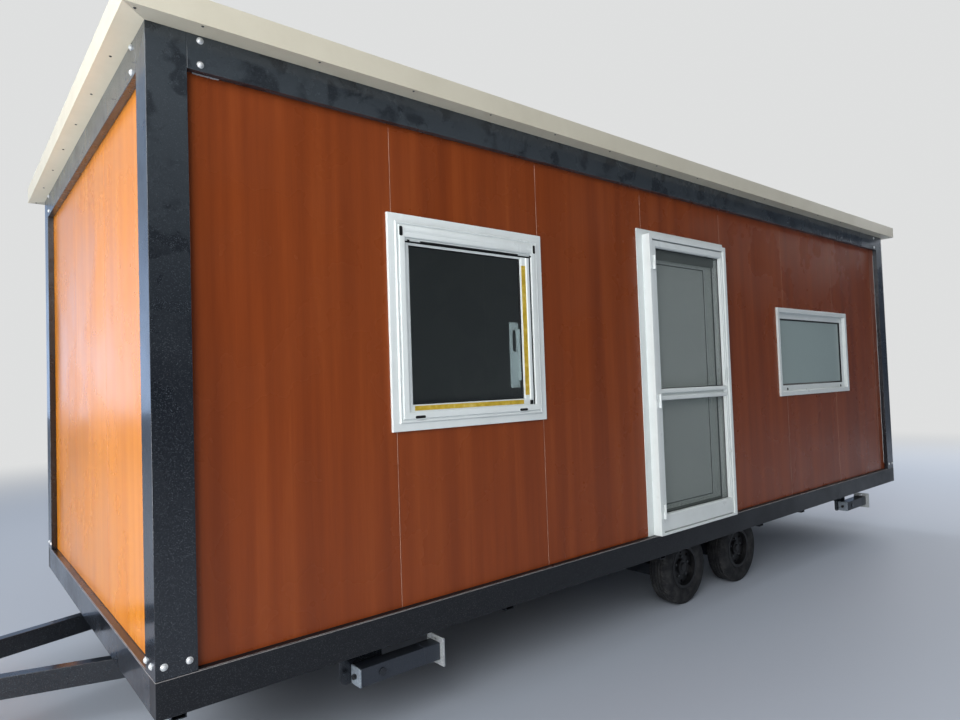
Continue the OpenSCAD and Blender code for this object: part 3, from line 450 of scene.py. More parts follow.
# Hot-dip or electroplated zinc: grey metal with a faint spangle of about 10 mm.
zincLook = {"spangle": 10.5, "colours": [(0.0, "#9a9fa1"), (0.5, "#bcc0c1"), (1.0, "#d2d5d5")],
            "gloss": (0.3, 0.55), "metallic": 1.0}
# A paler, less metallic copy for the corner bolts: painted highlight for the bright reflections on
# their heads.
zincPaintedHighlightLook = dict(zincLook, metallic=0.45,
                      colours=[(0.0, "#c3c7c8"), (0.5, "#d5d8d9"), (1.0, "#e3e5e5")])
legZincLook = dict(zincLook, metallic=0.5,
                   colours=[(0.0, "#9fa4a6"), (0.5, "#b4b9bb"), (1.0, "#c8cccd")])
# Blue-grey for the legs' cap plates: painted reflection of light on a dark painted cap.
capPaintedReflectionLook = dict(zincLook, metallic=0.3,
                    colours=[(0.0, "#76808a"), (0.5, "#87919b"), (1.0, "#9aa4ad")])
darkZincLook = dict(zincLook, colours=[(0.0, "#4a4c4e"), (0.5, "#5b5e60"), (1.0, "#6c6f71")])


def zincPlate(name, look):
    material, add, place = startMaterial(name)
    spangle = add("TexVoronoi", {"Vector": place, "Scale": 1000 / look["spangle"]})
    gloss = noisePatches(add, place, 22, 5, 0.5, (0.3, 0.7), look["gloss"])[0]
    return surfaced(material, add, {"Base Color": colourRamp(add, spangle, look["colours"]),
                                    "Roughness": gloss, "Metallic": look["metallic"]})


# Moulded tyre rubber and extruded seals: matte black with grey dust in the low frequencies.
tyreRubberLook = {"colour": "#1b1c1f", "dust": "#4a4a49", "roughness": 0.72, "dustScale": 14}
sealLook = {"colour": "#0d0e0f", "dust": "#222426", "roughness": 0.6, "dustScale": 40}


def mouldedRubber(name, look):
    material, add, place = startMaterial(name)
    amount = noisePatches(add, place, look["dustScale"], 6, 0.6, (0.42, 0.75), (0.0, 0.6))[0]
    mixed = add("Mix", {"data_type": "RGBA", 0: amount, 6: linear(look["colour"]),
                        7: linear(look["dust"])})
    return surfaced(material, add, {"Base Color": (mixed, 2), "Roughness": look["roughness"],
                                    "IOR": 1.5, "Specular IOR Level": 0.3})


# Phenolic-faced plywood has a fine lengthwise figure. Protective tape is plain yellow film,
# thin and worn, a little glossy.
boardLook = {"colours": [(0.3, "#6d5a40"), (0.55, "#8d7a5c"), (0.75, "#a1906f")], "scale": 4,
             "stretch": (1.2, 14, 14), "detail": 8, "figureRoughness": 0.6, "roughness": 0.6}
tapeLook = {"colours": [(0.3, "#a98e1c"), (0.55, "#c3a42f"), (0.8, "#d8c374")], "scale": 34,
            "stretch": (1, 1, 1), "detail": 5, "figureRoughness": 0.5, "roughness": 0.36}


def figuredSheet(name, look):
    material, add, place = startMaterial(name)
    drawn = add("Mapping", {"Vector": place, "Scale": look["stretch"]})
    figure = add("TexNoise", {"Vector": drawn, "Scale": look["scale"], "Detail": look["detail"],
                              "Roughness": look["figureRoughness"]})
    return surfaced(material, add, {"Base Color": colourRamp(add, figure, look["colours"]),
                                    "Roughness": look["roughness"]})


# Float glass: the large pane has a dark solar tint, the small one is lightly satined.
darkPaneLook = {"colour": "#bcc8cb", "gloss": (0.012, 0.05), "through": 1.0, "specular": 0.5,
                "admitted": 0.75}
satinPaneLook = {"colour": "#b3c3c1", "gloss": (0.16, 0.26), "through": 0.35, "specular": 0.5,
                 "admitted": 0.5}


def floatGlass(name, look):
    material, add, place = startMaterial(name)
    # lamp light passes: alpha = 1 - admitted * Is Shadow Ray
    alpha = add("Math", {"operation": "MULTIPLY_ADD", 0: (add("LightPath", {}), "Is Shadow Ray"),
                         1: -look["admitted"], 2: 1.0})
    gloss = noisePatches(add, place, 6, 5, 0.5, (0.4, 0.8), look["gloss"])[0]
    return surfaced(material, add, {"Base Color": linear(look["colour"]), "Alpha": alpha,
                                    "Transmission Weight": look["through"], "Roughness": gloss,
                                    "Specular IOR Level": look["specular"], "IOR": 1.5})


# Woven fly screen: grey threads, drawn 3 mm apart instead of 1.5 so that they show.
screenWeave = {"pitch": 3.0, "openShare": 0.68, "colour": "#697270", "roughness": 0.7}


def wovenScreen(name, look):
    material, add, place = startMaterial(name)
    parts = add("SeparateXYZ", {"Vector": place})
    threads = []
    for axis in ("X", "Z"):
        pitches = add("Math", {"operation": "MULTIPLY", 0: (parts, axis),
                               1: 1 / (mm * look["pitch"])})
        part = add("Math", {"operation": "FRACT", 0: pitches})
        threads.append(add("Math", {"operation": "GREATER_THAN", 0: part,
                                    1: look["openShare"] ** 0.5}))
    weave = add("Math", {"operation": "MAXIMUM", 0: threads[0], 1: threads[1]})
    return surfaced(material, add, {"Base Color": linear(look["colour"]), "Alpha": weave,
                                    "Roughness": look["roughness"]})


print("materials")
laminate = woodGrainLaminate("woodGrainLaminate", laminateLook), "wood_grain_laminate"
endLaminatePaintedLight = woodGrainLaminate("woodGrainLaminateEndPaintedLight", endLaminatePaintedLightLook), "wood_grain_laminate"
anthracite = sprayedSteel("anthracitePaint", paintLook), "anthracite_steel"
legPaintLit = sprayedSteel("anthraciteLegPaintPaintedLight", legPaintLitLook), "anthracite_steel"
sillPaintShaded = sprayedSteel("anthraciteSillPaintPaintedShade", sillPaintShadedLook), "anthracite_steel"
blackSteel = sprayedSteel("blackWheelPaint", wheelPaintLook), "anthracite_steel"
creamSheet = coatedMetal("creamCoatedSheet", creamLook), "cream_sheet"
roofSheet = coatedMetal("roofCoatedSheet", roofLook), "cream_sheet"
whiteProfile = coatedMetal("whiteCoatedAluminium", whiteLook), "white_profile"
doorPanel = coatedMetal("greyDoorPanel", innerDoorLook), "door_panel"
oliveTrimAndShade = coatedMetal("oliveCoatedTrimAndPaintedShade", oliveTrimAndShadeLook), "door_panel"
foil = coatedMetal("aluminiumSealingStrip", foilLook), "zinc_plated_steel"
tyreRubber = mouldedRubber("mouldedTyreRubber", tyreRubberLook), "tyre_rubber"
sealRubber = mouldedRubber("extrudedSealRubber", sealLook), "tyre_rubber"
zinc = zincPlate("zincPlate", zincLook), "zinc_plated_steel"
darkZinc = zincPlate("agedZincPlate", darkZincLook), "zinc_plated_steel"
legZinc = zincPlate("legZincPlate", legZincLook), "zinc_plated_steel"
zincPaintedHighlight = zincPlate("zincPlatePaintedHighlight", zincPaintedHighlightLook), "zinc_plated_steel"
capPaintedReflection = zincPlate("legCapPaintedReflection", capPaintedReflectionLook), "zinc_plated_steel"
jointBead = coatedMetal("panelJointBead", jointBeadLook), "wood_grain_laminate"
sillEdgeHighlight = coatedMetal("sillEdgePaintedHighlight", sillEdgeHighlightLook), "anthracite_steel"
board = figuredSheet("phenolicPlywood", boardLook), "floor_board"
darkPane = floatGlass("tintedFloatGlass", darkPaneLook), "window_pane"
satinPane = floatGlass("satinFloatGlass", satinPaneLook), "window_pane"
screen = wovenScreen("wovenScreen", screenWeave), "fly_screen"
tape = figuredSheet("protectiveTape", tapeLook), "white_profile"

# CAD nodes shown as they are
plainNodes = [
    (anthracite, ("chassis_rails", "cross_beams", "floor_joists", "axle_beams", "leg_brackets")),
    (board, ("floor_deck",)), (roofSheet, ("roof_panels",)), (screen, ("screen_door_mesh",)),
    # the towing end wall takes the lighter laminate copy, which is painted light
    (endLaminatePaintedLight, ("drawbar_end_wall",)),
    (laminate, ("front_wall_left", "front_wall_over_door", "front_wall_right", "back_wall",
                "rear_end_wall"))]
for (material, slotName), group in plainNodes:
    for node in group:
        shown = frame["nodes"][node]
        shown.data.materials.clear()
        shown.data.materials.append(material)

print("steel frame, roof edge, window and door profiles")
# CAD nodes dressed in a rounded copy: finish, width of the rounding, nodes
softNodes = [
    (sillPaintShaded, 4.0, ("side_sills",)),
    (anthracite, 4.0, ("end_sills", "corner_posts", "side_top_beams", "end_top_beams")),
    (anthracite, 3.0, ("drawbar_arm_near", "drawbar_arm_far")),
    (legPaintLit, 3.0, ["leg_" + place for place in wheelPlaces]),
    (creamSheet, 1.2, ("roof_fascia_sides", "roof_fascia_ends")),
    (zinc, 1.0, ("towing_eye", "nose_support", "lining_hinge_pins", "inner_hinge_leaves")),
    (blackSteel, 1.0, ["rim_" + place for place in wheelPlaces]),
    (whiteProfile, 1.6, ("large_window_frame", "large_window_sash", "small_window_frame",
                         "small_window_sash", "door_surround", "door_lining",
                         "screen_door_frame", "screen_hinge_pins", "screen_hinge_leaves")),
    (doorPanel, 1.6, ("inner_door_leaf",))]
freed = {"from": 19.0, "to": 21.0, "by": 0.5}


def freeHub(rim, node):
    # the hub's bore clears the stub axle's facets: radius + 0.5 mm between 19 and 21 mm
    low, high = (np.array(corner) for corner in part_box(node))
    places = np.empty(3 * len(rim.data.vertices))
    rim.data.vertices.foreach_get("co", places)
    places = places.reshape(-1, 3)
    spoke = (places - (low + high) / 2)[:, [0, 2]]
    radius = np.linalg.norm(spoke, axis=1) / mm
    bore = (radius > freed["from"]) & (radius < freed["to"])
    places[:, [0, 2]] += spoke * (bore * freed["by"] / np.maximum(radius, 1.0))[:, None]
    rim.data.vertices.foreach_set("co", places.ravel())
    rim.data.update()


for finish, bevel, group in softNodes:
    for node in group:
        made = softCopy(node, finish, bevel)
        if node.startswith("rim_"):
            freeHub(made, node)


# Corner bolts: domed zinc heads on washers where the posts, beams and sills meet, in a paler zinc
# that is a painted highlight
boltLook = {"head": (10.5, 13.5, 9.0, 24),  # radius, washer radius, height, steps
            "longFaces": [(201, 2579), (201, 2482), (30, 189), (119, 189)],
            "endFaces": [(222, 2586), (222, 2483), (61, 182), (139, 182)]}


def cornerBolts():
    heads = []
    for side in (0, 1):
        for end in (0, 1):
            heads += [((x + end * (bodyLength - 2 * x), side * bodyWidth, z), (0, 2 * side - 1, 0))
                      for x, z in boltLook["longFaces"]]
            heads += [((end * bodyLength, y + side * (bodyWidth - 2 * y), z), (2 * end - 1, 0, 0))
                      for y, z in boltLook["endFaces"]]
    shape = joined([domeHead(*head, *boltLook["head"]) for head in heads])
    makePiece("corner_bolts", shape, zincPaintedHighlight)


# Roof: screws with sealing washers on every rib, and small screws in the soffit
roofScrewLook = {"firstRib": 40, "ribFoot": 60, "ribPitch": 330, "lastRib": 20, "rows": 7,
                 "inset": 130, "head": (5.5, 9.5, 7, 12), "soffitHead": (4.0, 5.5, 4, 12),
                 "soffitPitch": 487, "soffitStart": 189, "soffitOut": 76, "endOut": 45,
                 "endScrews": 8, "endReach": 60}


def roofScrews():
    look = roofScrewLook
    low, high = nodeBox("roof_panels")
    ribRun = high[0] - low[0] - look["ribFoot"]
    ribCount = math.ceil(ribRun / look["ribPitch"])
    step = (ribRun - look["lastRib"]) / ribCount
    crests = [low[0] + look["firstRib"] + k * step for k in range(ribCount + 1)]
    rows = np.linspace(low[1] + look["inset"], high[1] - look["inset"], look["rows"])
    top = [domeHead((x, y, high[2]), (0, 0, 1), *look["head"]) for x in crests for y in rows]
    makePiece("roof_screws", joined(top), zinc)
    soffit, out, endOut = nodeBox("roof_fascia_sides")[0][2], look["soffitOut"], look["endOut"]
    longRow = np.arange(look["soffitStart"], bodyLength, look["soffitPitch"])
    shortRow = np.linspace(-look["endReach"], bodyWidth + look["endReach"], look["endScrews"])
    places = [(x, y, soffit) for x in longRow for y in (-out, bodyWidth + out)]
    places += [(x, y, soffit) for y in shortRow for x in (-endOut, bodyLength + endOut)]
    under = [domeHead(place, (0, 0, -1), *look["soffitHead"]) for place in places]
    makePiece("soffit_screws", joined(under), darkZinc)


# Wall foot: a bead of dark sealant on the sill's ledge, broken by the door's surround, and
# a pale strip along the sills' upper outer edge, a painted highlight where it catches light
footLook = {"out": 2, "rise": 2.5, "lift": 0.2, "post": 150, "edgeRadius": 4, "edgeProud": 0.6,
            "edgeSunk": 1}


def wallFoot():
    look = footLook
    ledge, post = sillHeight + look["lift"], look["post"]
    back = nodeBox("front_wall_left")[0][1]
    section = [(back, ledge), (back - look["out"], ledge), (back - look["out"], ledge + 1),
               (back - 1, ledge + look["rise"]), (back, ledge + look["rise"])]
    doorLow, doorHigh = nodeBox("door_surround")
    runs = [(post, doorLow[0], 0), (doorHigh[0], bodyLength - post, 0),
            (post, bodyLength - post, 1)]
    shapes = [prism([(bodyWidth - y if far else y, z) for y, z in section], start, end, 0)
              for start, end, far in runs]
    shapes += [prism([(bodyLength - x if far else x, z) for x, z in section], post,
                     bodyWidth - post, 1) for far in (0, 1)]
    makePiece("wall_foot_seals", joined(shapes), sealRubber)
    # quarter round: inward u = R - r * cos a, level = top - R + r * sin a, on both radii
    radius, angle = look["edgeRadius"], np.linspace(0, math.pi / 2, 5)
    arcs = [np.stack([radius - r * np.cos(angle), sillHeight - radius + r * np.sin(angle)], -1)
            for r in (radius + look["edgeProud"], radius - look["edgeSunk"])]
    points, faces = mitredRing((0, bodyLength, 0, bodyWidth), 0,
                               np.concatenate([arcs[0], arcs[1][::-1]]))
    makePiece("sill_edge_painted_highlights", (points[:, [0, 2, 1]], faces), sillEdgeHighlight)


# Panel joints: thin pale beads in the joints of both long walls, clear of the windows
jointLook = {"first": 1083, "pitch": 985, "count": 7, "width": 1.8, "proud": 0.5, "high": 2420,
             "lift": 2, "under": 5}


def panelJoints():
    look = jointLook
    face = nodeBox("front_wall_left")[0][1]
    foot, half, out = sillHeight + look["lift"], look["width"] / 2, look["proud"]
    holes = [nodeBox(node) for node in ("large_window_frame", "small_window_frame",
                                        "door_surround")]
    shapes = []
    for k in range(look["count"]):
        x = look["first"] + k * look["pitch"]
        ends = [foot]
        for low, high in holes:
            if low[0] < x < high[0]:
                ends += [low[2] + look["under"], high[2] - look["under"]]
        ends.append(look["high"])
        shapes += [block(x - half, x + half, face - out, face + 1, z0, z1)
                   for z0, z1 in zip(ends[::2], ends[1::2]) if z1 > z0]
        shapes.append(block(x - half, x + half, bodyWidth - face - 1, bodyWidth - face + out,
                            foot, look["high"]))
    makePiece("panel_joint_beads", joined(shapes), jointBead)


# Sealing strip: crumpled aluminium foil along the last panel and under the beam by the corner
stripLook = {"upright": 7094, "width": 9, "low": 205, "high": 2405, "wave": 2.2, "waveLength": 61,
             "seed": 5, "jitter": 0.7, "crest": 2.2, "crumple": 1.2,
             "topStart": 178, "topEnd": 280, "topOut": 7, "topCrumple": 1.5}


def ribbon(lines):
    # a closed strip: each line is x, y and z along it, as arrays or single numbers
    points = np.stack([np.stack(np.broadcast_arrays(*line), -1) for line in lines], 1)
    return points.reshape(-1, 3), gridFaces(len(points), len(lines), False, True)


def sealingStrips():
    look = stripLook
    random = np.random.default_rng(look["seed"])
    face = nodeBox("front_wall_right")[0][1]
    beamFoot = nodeBox("side_top_beams")[0][2]
    z = np.linspace(look["low"], look["high"], 180)
    middle = (look["upright"] + look["wave"] * np.sin(z / look["waveLength"])
              + random.normal(0, look["jitter"], len(z)))
    half = look["width"] / 2 * (0.8 + 0.35 * random.random(len(z)))
    crest = face - look["crest"] - look["crumple"] * random.random(len(z))
    upright = ribbon([(middle - half, face + 0.5, z), (middle - half * 0.3, crest, z),
                      (middle + half * 0.4, crest + 0.8, z), (middle + half, face + 0.5, z)])
    x = np.linspace(look["topStart"], look["topEnd"], 40)
    drop = 2 + 2 * random.random(len(x))
    out = face - look["topOut"]
    top = ribbon([(x, face + 0.5, beamFoot - drop),
                  (x, face - 2 - look["topCrumple"] * random.random(len(x)),
                   beamFoot - drop * 0.7),
                  (x, out, beamFoot - 0.3 * drop), (x, out, beamFoot + 0.5),
                  (x, face + 0.5, beamFoot + 0.5)])
    makePiece("sealing_strips", joined([upright, top]), foil)


# Large window: slots and drains in the frame, brushes in the track, seals, pane and grip strip.
# Places run from the frame's outer corner: a across, b up.
largeWindow = {"slot": (58, 20, 943, 990), "drains": ((120, 180), (809, 869)),
               "drainSpan": (58, 72), "rim": 2.5,
               "brushes": ((182, 837, 3.2, 922, 928), (105, 118, 3, 921, 929),
                           (925, 938, 3, 921, 929)),  # a0, a1, depth, b0, b1
               "gap": 8, "pane": (120, 857, 125, 905), "paneThick": 5, "gasketOut": 2,
               "grip": (900, 922), "gripLow": 118, "gripStops": ((92, 115), (67, 80)),
               "tape": (128, 852, 96, 119), "stileTape": (868, 899, 146, 868)}


def rimmedSlot(a0, a1, b0, b1, radius, face, rim):
    # a dark slot a little in front of the face and a raised rim round it
    inner = roundedOutline(a0, a1, b0, b1, radius)
    outer = roundedOutline(a0 - rim, a1 + rim, b0 - rim, b1 + rim, radius + rim)
    return (prism(inner, face - 0.4, face + 2, 1),
            holedPlate(outer, inner, face - 1.3, face + 1, 1))


def inWindow(low, spans):
    # a0, a1, b0, b1 from the frame's corner to cabin x0, x1, z0, z1
    return [low[axis] + place for axis, place in zip((0, 0, 2, 2), spans)]


def largeWindowDetails():
    look = largeWindow
    low, high = nodeBox("large_window_frame")
    sashLow, sashHigh = nodeBox("large_window_sash")
    face, front, track, gap = low[1], sashLow[1], sashHigh[2], look["gap"]
    slotIn, slotWide, slotLow, slotHigh = look["slot"]
    slots = [(a, a + slotWide, slotLow, slotHigh, 7)
             for a in (slotIn, high[0] - low[0] - slotIn - slotWide)]
    slots += [(a0, a1, *look["drainSpan"], 6.5) for a0, a1 in look["drains"]]
    openings = [rimmedSlot(*inWindow(low, slot[:4]), slot[4], face, look["rim"])
                for slot in slots]
    black = [dark for dark, rim in openings]
    for a0, a1, depth, b0, b1 in look["brushes"]:
        x0, x1, z0, z1 = inWindow(low, (a0, a1, b0, b1))
        black.append(block(x0, x1, face + depth, face + 6, z0, z1))
    black.append(block(sashLow[0], sashHigh[0], front - 1.2, front + 0.5, track - gap, track))
    black.append(block(sashHigh[0] - gap, sashHigh[0], front - 1.2, front + 0.5, sashLow[2],
                       track - gap))
    grip0, grip1 = (low[0] + a for a in look["grip"])
    black += [block(grip0 + 1, grip1 - 1, front - 5, front + 0.5, low[2] + b0, low[2] + b1)
              for b0, b1 in look["gripStops"]]
    makePiece("large_window_seals", joined(black), sealRubber)
    makePiece("large_window_slot_rims", joined([rim for dark, rim in openings]), whiteProfile)
    strip = prism([(grip0, front + 0.5), (grip0, front - 5), (grip0 + 3, front - 8),
                   (grip1 - 3, front - 8), (grip1, front - 5), (grip1, front + 0.5)],
                  low[2] + look["gripLow"], track - gap - 2, 2)
    makePiece("large_window_grip", strip, whiteProfile, bevel=0.8)
    paneFace = nodeBox("window_glass")[0][1]
    spans = inWindow(low, look["pane"])
    makePiece("large_pane", block(*spans[:2], paneFace, paneFace + look["paneThick"], *spans[2:]),
              darkPane, replaces=("window_glass",), bevel=0.5)
    gasket = mitredRing(spans, look["gasketOut"],
                        [(0, paneFace - 4), (5, paneFace - 3), (8, paneFace - 0.1),
                         (0, paneFace - 0.1)])
    makePiece("large_window_gasket", gasket, sealRubber)


def tapeStrips():
    # plain tape on the bottom rail and the pull stile, its ends torn in a small zigzag
    low = nodeBox("large_window_frame")[0]
    front = nodeBox("large_window_sash")[0][1]
    teeth, jag = np.linspace(0, 1, 9), 2.5 * (np.arange(9) % 2)
    shapes = []
    for name, turned in (("tape", False), ("stileTape", True)):
        a0, a1, b0, b1 = inWindow(low, largeWindow[name])
        if turned:
            outline = [np.concatenate([a0 + teeth * (a1 - a0), a1 - teeth * (a1 - a0)]),
                       np.concatenate([b0 - jag, b1 + jag])]
        else:
            outline = [np.concatenate([a1 + jag, a0 - jag]),
                       np.concatenate([b0 + teeth * (b1 - b0), b1 - teeth * (b1 - b0)])]
        shapes.append(prism(np.stack(outline, -1), front - 0.5, front + 0.1, 1))
    makePiece("protective_tape", joined(shapes), tape)


# Inside pull: a white plate with an oval slot, on a web behind the large window's pull stile
pullLook = {"plate": (1866, 1934, 1157, 1525), "y": 78, "thick": 4, "slotIn": (22, 18),
            "slotDown": (0.45, 0.12), "webIn": (8, 3), "webShort": 40}


def pullPlate():
    look = pullLook
    x0, x1, z0, z1 = look["plate"]
    left, right = look["slotIn"]
    slot = roundedOutline(x0 + left, x1 - right, *(z1 - share * (z1 - z0)
                                                   for share in look["slotDown"]), 13.5, 8)
    plate = holedPlate(roundedOutline(x0, x1, z0, z1, 10, 8), slot, look["y"],
                       look["y"] + look["thick"], 1)
    web = block(x1 - look["webIn"][0], x1 - look["webIn"][1],
                nodeBox("large_window_sash")[1][1] - 1, look["y"] + 1, z0 + look["webShort"],
                z1 - look["webShort"])
    makePiece("pull_plate", joined([plate, web]), whiteProfile, bevel=1)


# Small window: glazing gasket, pane, and round drain caps on the sash
smallWindow = {"paneIn": 96, "paneThick": 5, "gasketIn": 88, "capX": (182, 1272), "capZ": 56,
               "capRadius": 12}


def smallWindowDetails():
    look = smallWindow
    low, high = nodeBox("small_window_frame")
    sashFront = nodeBox("small_window_sash")[0][1]
    back = nodeBox("window_glass")[1][1]
    front, inset = back - look["paneThick"], look["paneIn"]
    makePiece("small_pane", block(low[0] + inset, high[0] - inset, front, back, low[2] + inset,
                                  high[2] - inset), satinPane, replaces=("window_glass",),
              bevel=0.5)
    gasket = mitredRing((low[0], high[0], low[2], high[2]), -look["gasketIn"],
                        [(0, sashFront + 3.9), (0, sashFront + 1), (4, sashFront + 1),
                         (14, front - 2), (14, front - 0.1), (1.2, front - 0.1)])
    makePiece("small_window_gasket", gasket, sealRubber)
    caps = [domeHead((low[0] + a, sashFront, low[2] + look["capZ"]), (0, -1, 0),
                     look["capRadius"] - 2, look["capRadius"], 4, 20) for a in look["capX"]]
    makePiece("small_window_caps", joined(caps), sealRubber)


# Inner door: bead and seal round its panel, kick strip, levers; seal on the lining, and a dark
# strip across its head that is painted shade
innerDoor = {"stile": 92, "head": 100, "kick": 115, "kickLow": 62, "kickGap": 16,
             "plateOut": 8, "beadWide": 15,
             "leverIn": 60, "leverLength": 118, "leverRadius": 7.5, "leverBend": 12,
             "leverOut": (26, 52), "leverZ": 1110, "keyDrop": 72, "liningEdge": 38,
             "threshold": 30, "headShade": 98,
             "keyPlate": [(0, 5), (9, 5), (10, 4), (10, -0.5), (0, -0.5)]}


def innerDoorDetails():
    look = innerDoor
    low, high = nodeBox("inner_door_leaf")
    wide, foot = look["beadWide"], low[2] + look["kick"]
    field = (low[0] + look["stile"], high[0] - look["stile"], foot, high[2] - look["head"])
    turn = np.linspace(0, math.pi / 2, 9)
    bend, middle, leverZ = look["leverBend"], high[0] - look["leverIn"], look["leverZ"]
    kick = roundedOutline(low[0] + 4, high[0] - 4, low[2] + look["kickLow"],
                          foot - look["kickGap"], 3)
    beads, seals, kicks, levers = [], [], [], []
    for face, out, reach in ((low[1] + look["plateOut"], -1, look["leverOut"][0]),
                             (high[1] - look["plateOut"], 1, look["leverOut"][1])):
        beads.append(mitredRing(field, 0,
                                [(0, face - out), (0, face + out * 3), (3, face + out * 4),
                                 (11, face + out * 4), (wide, face + out * 1.5),
                                 (wide, face - out)]))
        seals.append(mitredRing(field, -wide,
                                [(0, face - out), (0, face + out * 1.8), (8, face + out * 1.2),
                                 (8, face - out)]))
        kicks.append(prism(kick, *sorted((face - out, face + out * 2)), 1))
        plate = face + out * look["plateOut"]
        arc = np.stack([middle - bend * (1 - np.cos(turn)),
                        plate + out * (reach - bend + bend * np.sin(turn)),
                        np.full(len(turn), float(leverZ))], -1)
        path = [[middle, plate - out * 2, leverZ], *arc,
                [middle - look["leverLength"], plate + out * reach, leverZ - 3]]
        levers.append(tube(path, look["leverRadius"]))
        levers.append(revolved(look["keyPlate"], (middle, plate, leverZ - look["keyDrop"]),
                               (0, out, 0), 24))
    makePiece("inner_door_beads", joined(beads), doorPanel, "inner_door")
    makePiece("inner_door_seals", joined(seals), sealRubber, "inner_door")
    makePiece("inner_door_kick_strips", joined(kicks), oliveTrimAndShade, "inner_door", bevel=0.5)
    makePiece("inner_door_levers", joined(levers), zinc, "inner_door")


def liningDetails():
    # lip seal in front of the leaf's edge, and a dark olive strip across the head, painted shade
    # under the lining's head
    look = innerDoor
    leafFront = nodeBox("inner_door_leaf")[0][1] + look["plateOut"]
    low, high = nodeBox("door_lining")
    x0, x1 = low[0] + look["liningEdge"] - 0.5, high[0] - look["liningEdge"] + 0.5
    z0, z1 = low[2] + look["threshold"] - 0.5, high[2] - look["liningEdge"] + 0.5
    lip = mitredRing((x0, x1, z0, z1), 0,
                     [(0, leafFront - 7), (10, leafFront - 4.5), (10, leafFront - 2.5),
                      (5, leafFront - 1), (5, leafFront + 7), (0, leafFront + 8)])
    makePiece("lining_seal", lip, sealRubber)
    shadeStripLow = z1 - 0.5 - look["headShade"]
    shadeStrip = prism([(leafFront - 20, z1), (leafFront - 20, shadeStripLow + 4), (leafFront - 16, shadeStripLow),
                  (leafFront - 10, shadeStripLow), (leafFront - 10, z1)], x0, x1, 0)
    makePiece("lining_head_painted_shade", shadeStrip, oliveTrimAndShade, bevel=0.6)


# Screen door: rubber spline round each field, pull on the lock stile, latch and its keeper
screenDoor = {"spline": 5, "midLow": 1030, "midHigh": 1108, "pullIn": (19, 3),
              "pull": (1150, 1240), "pullRim": (4, 9), "latchIn": (17, 5), "latch": (600, 640),
              "keeperOut": (11, 25), "keeper": (1000, 1060),
              "knob": [(0, 9), (7, 8), (9, 5), (9, -0.5), (0, -0.5)]}


def screenDoorDetails():
    look = screenDoor
    low, high = nodeBox("screen_door_frame")
    meshLow, meshHigh = nodeBox("screen_door_mesh")
    right, front = high[0], low[1]
    fields = [(meshLow[2], look["midLow"]), (look["midHigh"], meshHigh[2])]
    rings = [mitredRing((meshLow[0], meshHigh[0], z0, z1), 0.5,
                        [(0, meshLow[1] - look["spline"]), (3, meshLow[1] - look["spline"] + 1),
                         (5, meshLow[1] - 0.2), (0, meshLow[1] - 0.2)]) for z0, z1 in fields]
    makePiece("screen_splines", joined(rings), sealRubber, "screen_door")
    x0, x1 = (right - inset for inset in look["pullIn"])
    z0, z1 = look["pull"]
    side, end = look["pullRim"]
    pull = holedPlate(roundedOutline(x0, x1, z0, z1, 5),
                      roundedOutline(x0 + side, x1 - side, z0 + end, z1 - end, 3), front - 6,
                      front + 1, 1)
    x0, x1 = (right - inset for inset in look["latchIn"])
    z0, z1 = look["latch"]
    knob = revolved(look["knob"], ((x0 + x1) / 2, front, (z0 + z1) / 2), (0, -1, 0), 24)
    arm = prism(roundedOutline(x0, x1, z0, z1, 5), front - 4, front + 1, 1)
    makePiece("screen_door_latch", joined([pull, knob, arm]), whiteProfile, "screen_door",
              bevel=0.6)
    surroundFront = nodeBox("door_surround")[0][1]
    near, far = look["keeperOut"]
    keeper = prism(roundedOutline(right + near, right + far, *look["keeper"], 3),
                   surroundFront - 3, surroundFront + 1, 1)
    makePiece("screen_door_keeper", keeper, whiteProfile, bevel=0.6)


def squareTube(centre, outer, inner, start, end):
    # along x, between two rounded squares round the centre: each is (half width, radius)
    return holedPlate(squareOutline(centre, *outer), squareOutline(centre, *inner), start, end, 0)


# Steady legs: cap plate, its blue-grey a painted reflection, with a black hexagon at the head,
# galvanised foot with a hole
legLook = {"stub": 16, "capThick": 6, "capProud": 0.6, "capHole": 10, "hexRadius": 12.6,
           "corner": 6, "footThick": 8, "footClip": 3, "footHole": (0, 52, 7), "tubeWall": 4,
           "slidePlay": 2.5, "inCorner": 3, "slideCorner": 5, "sleeveGap": 0.6}


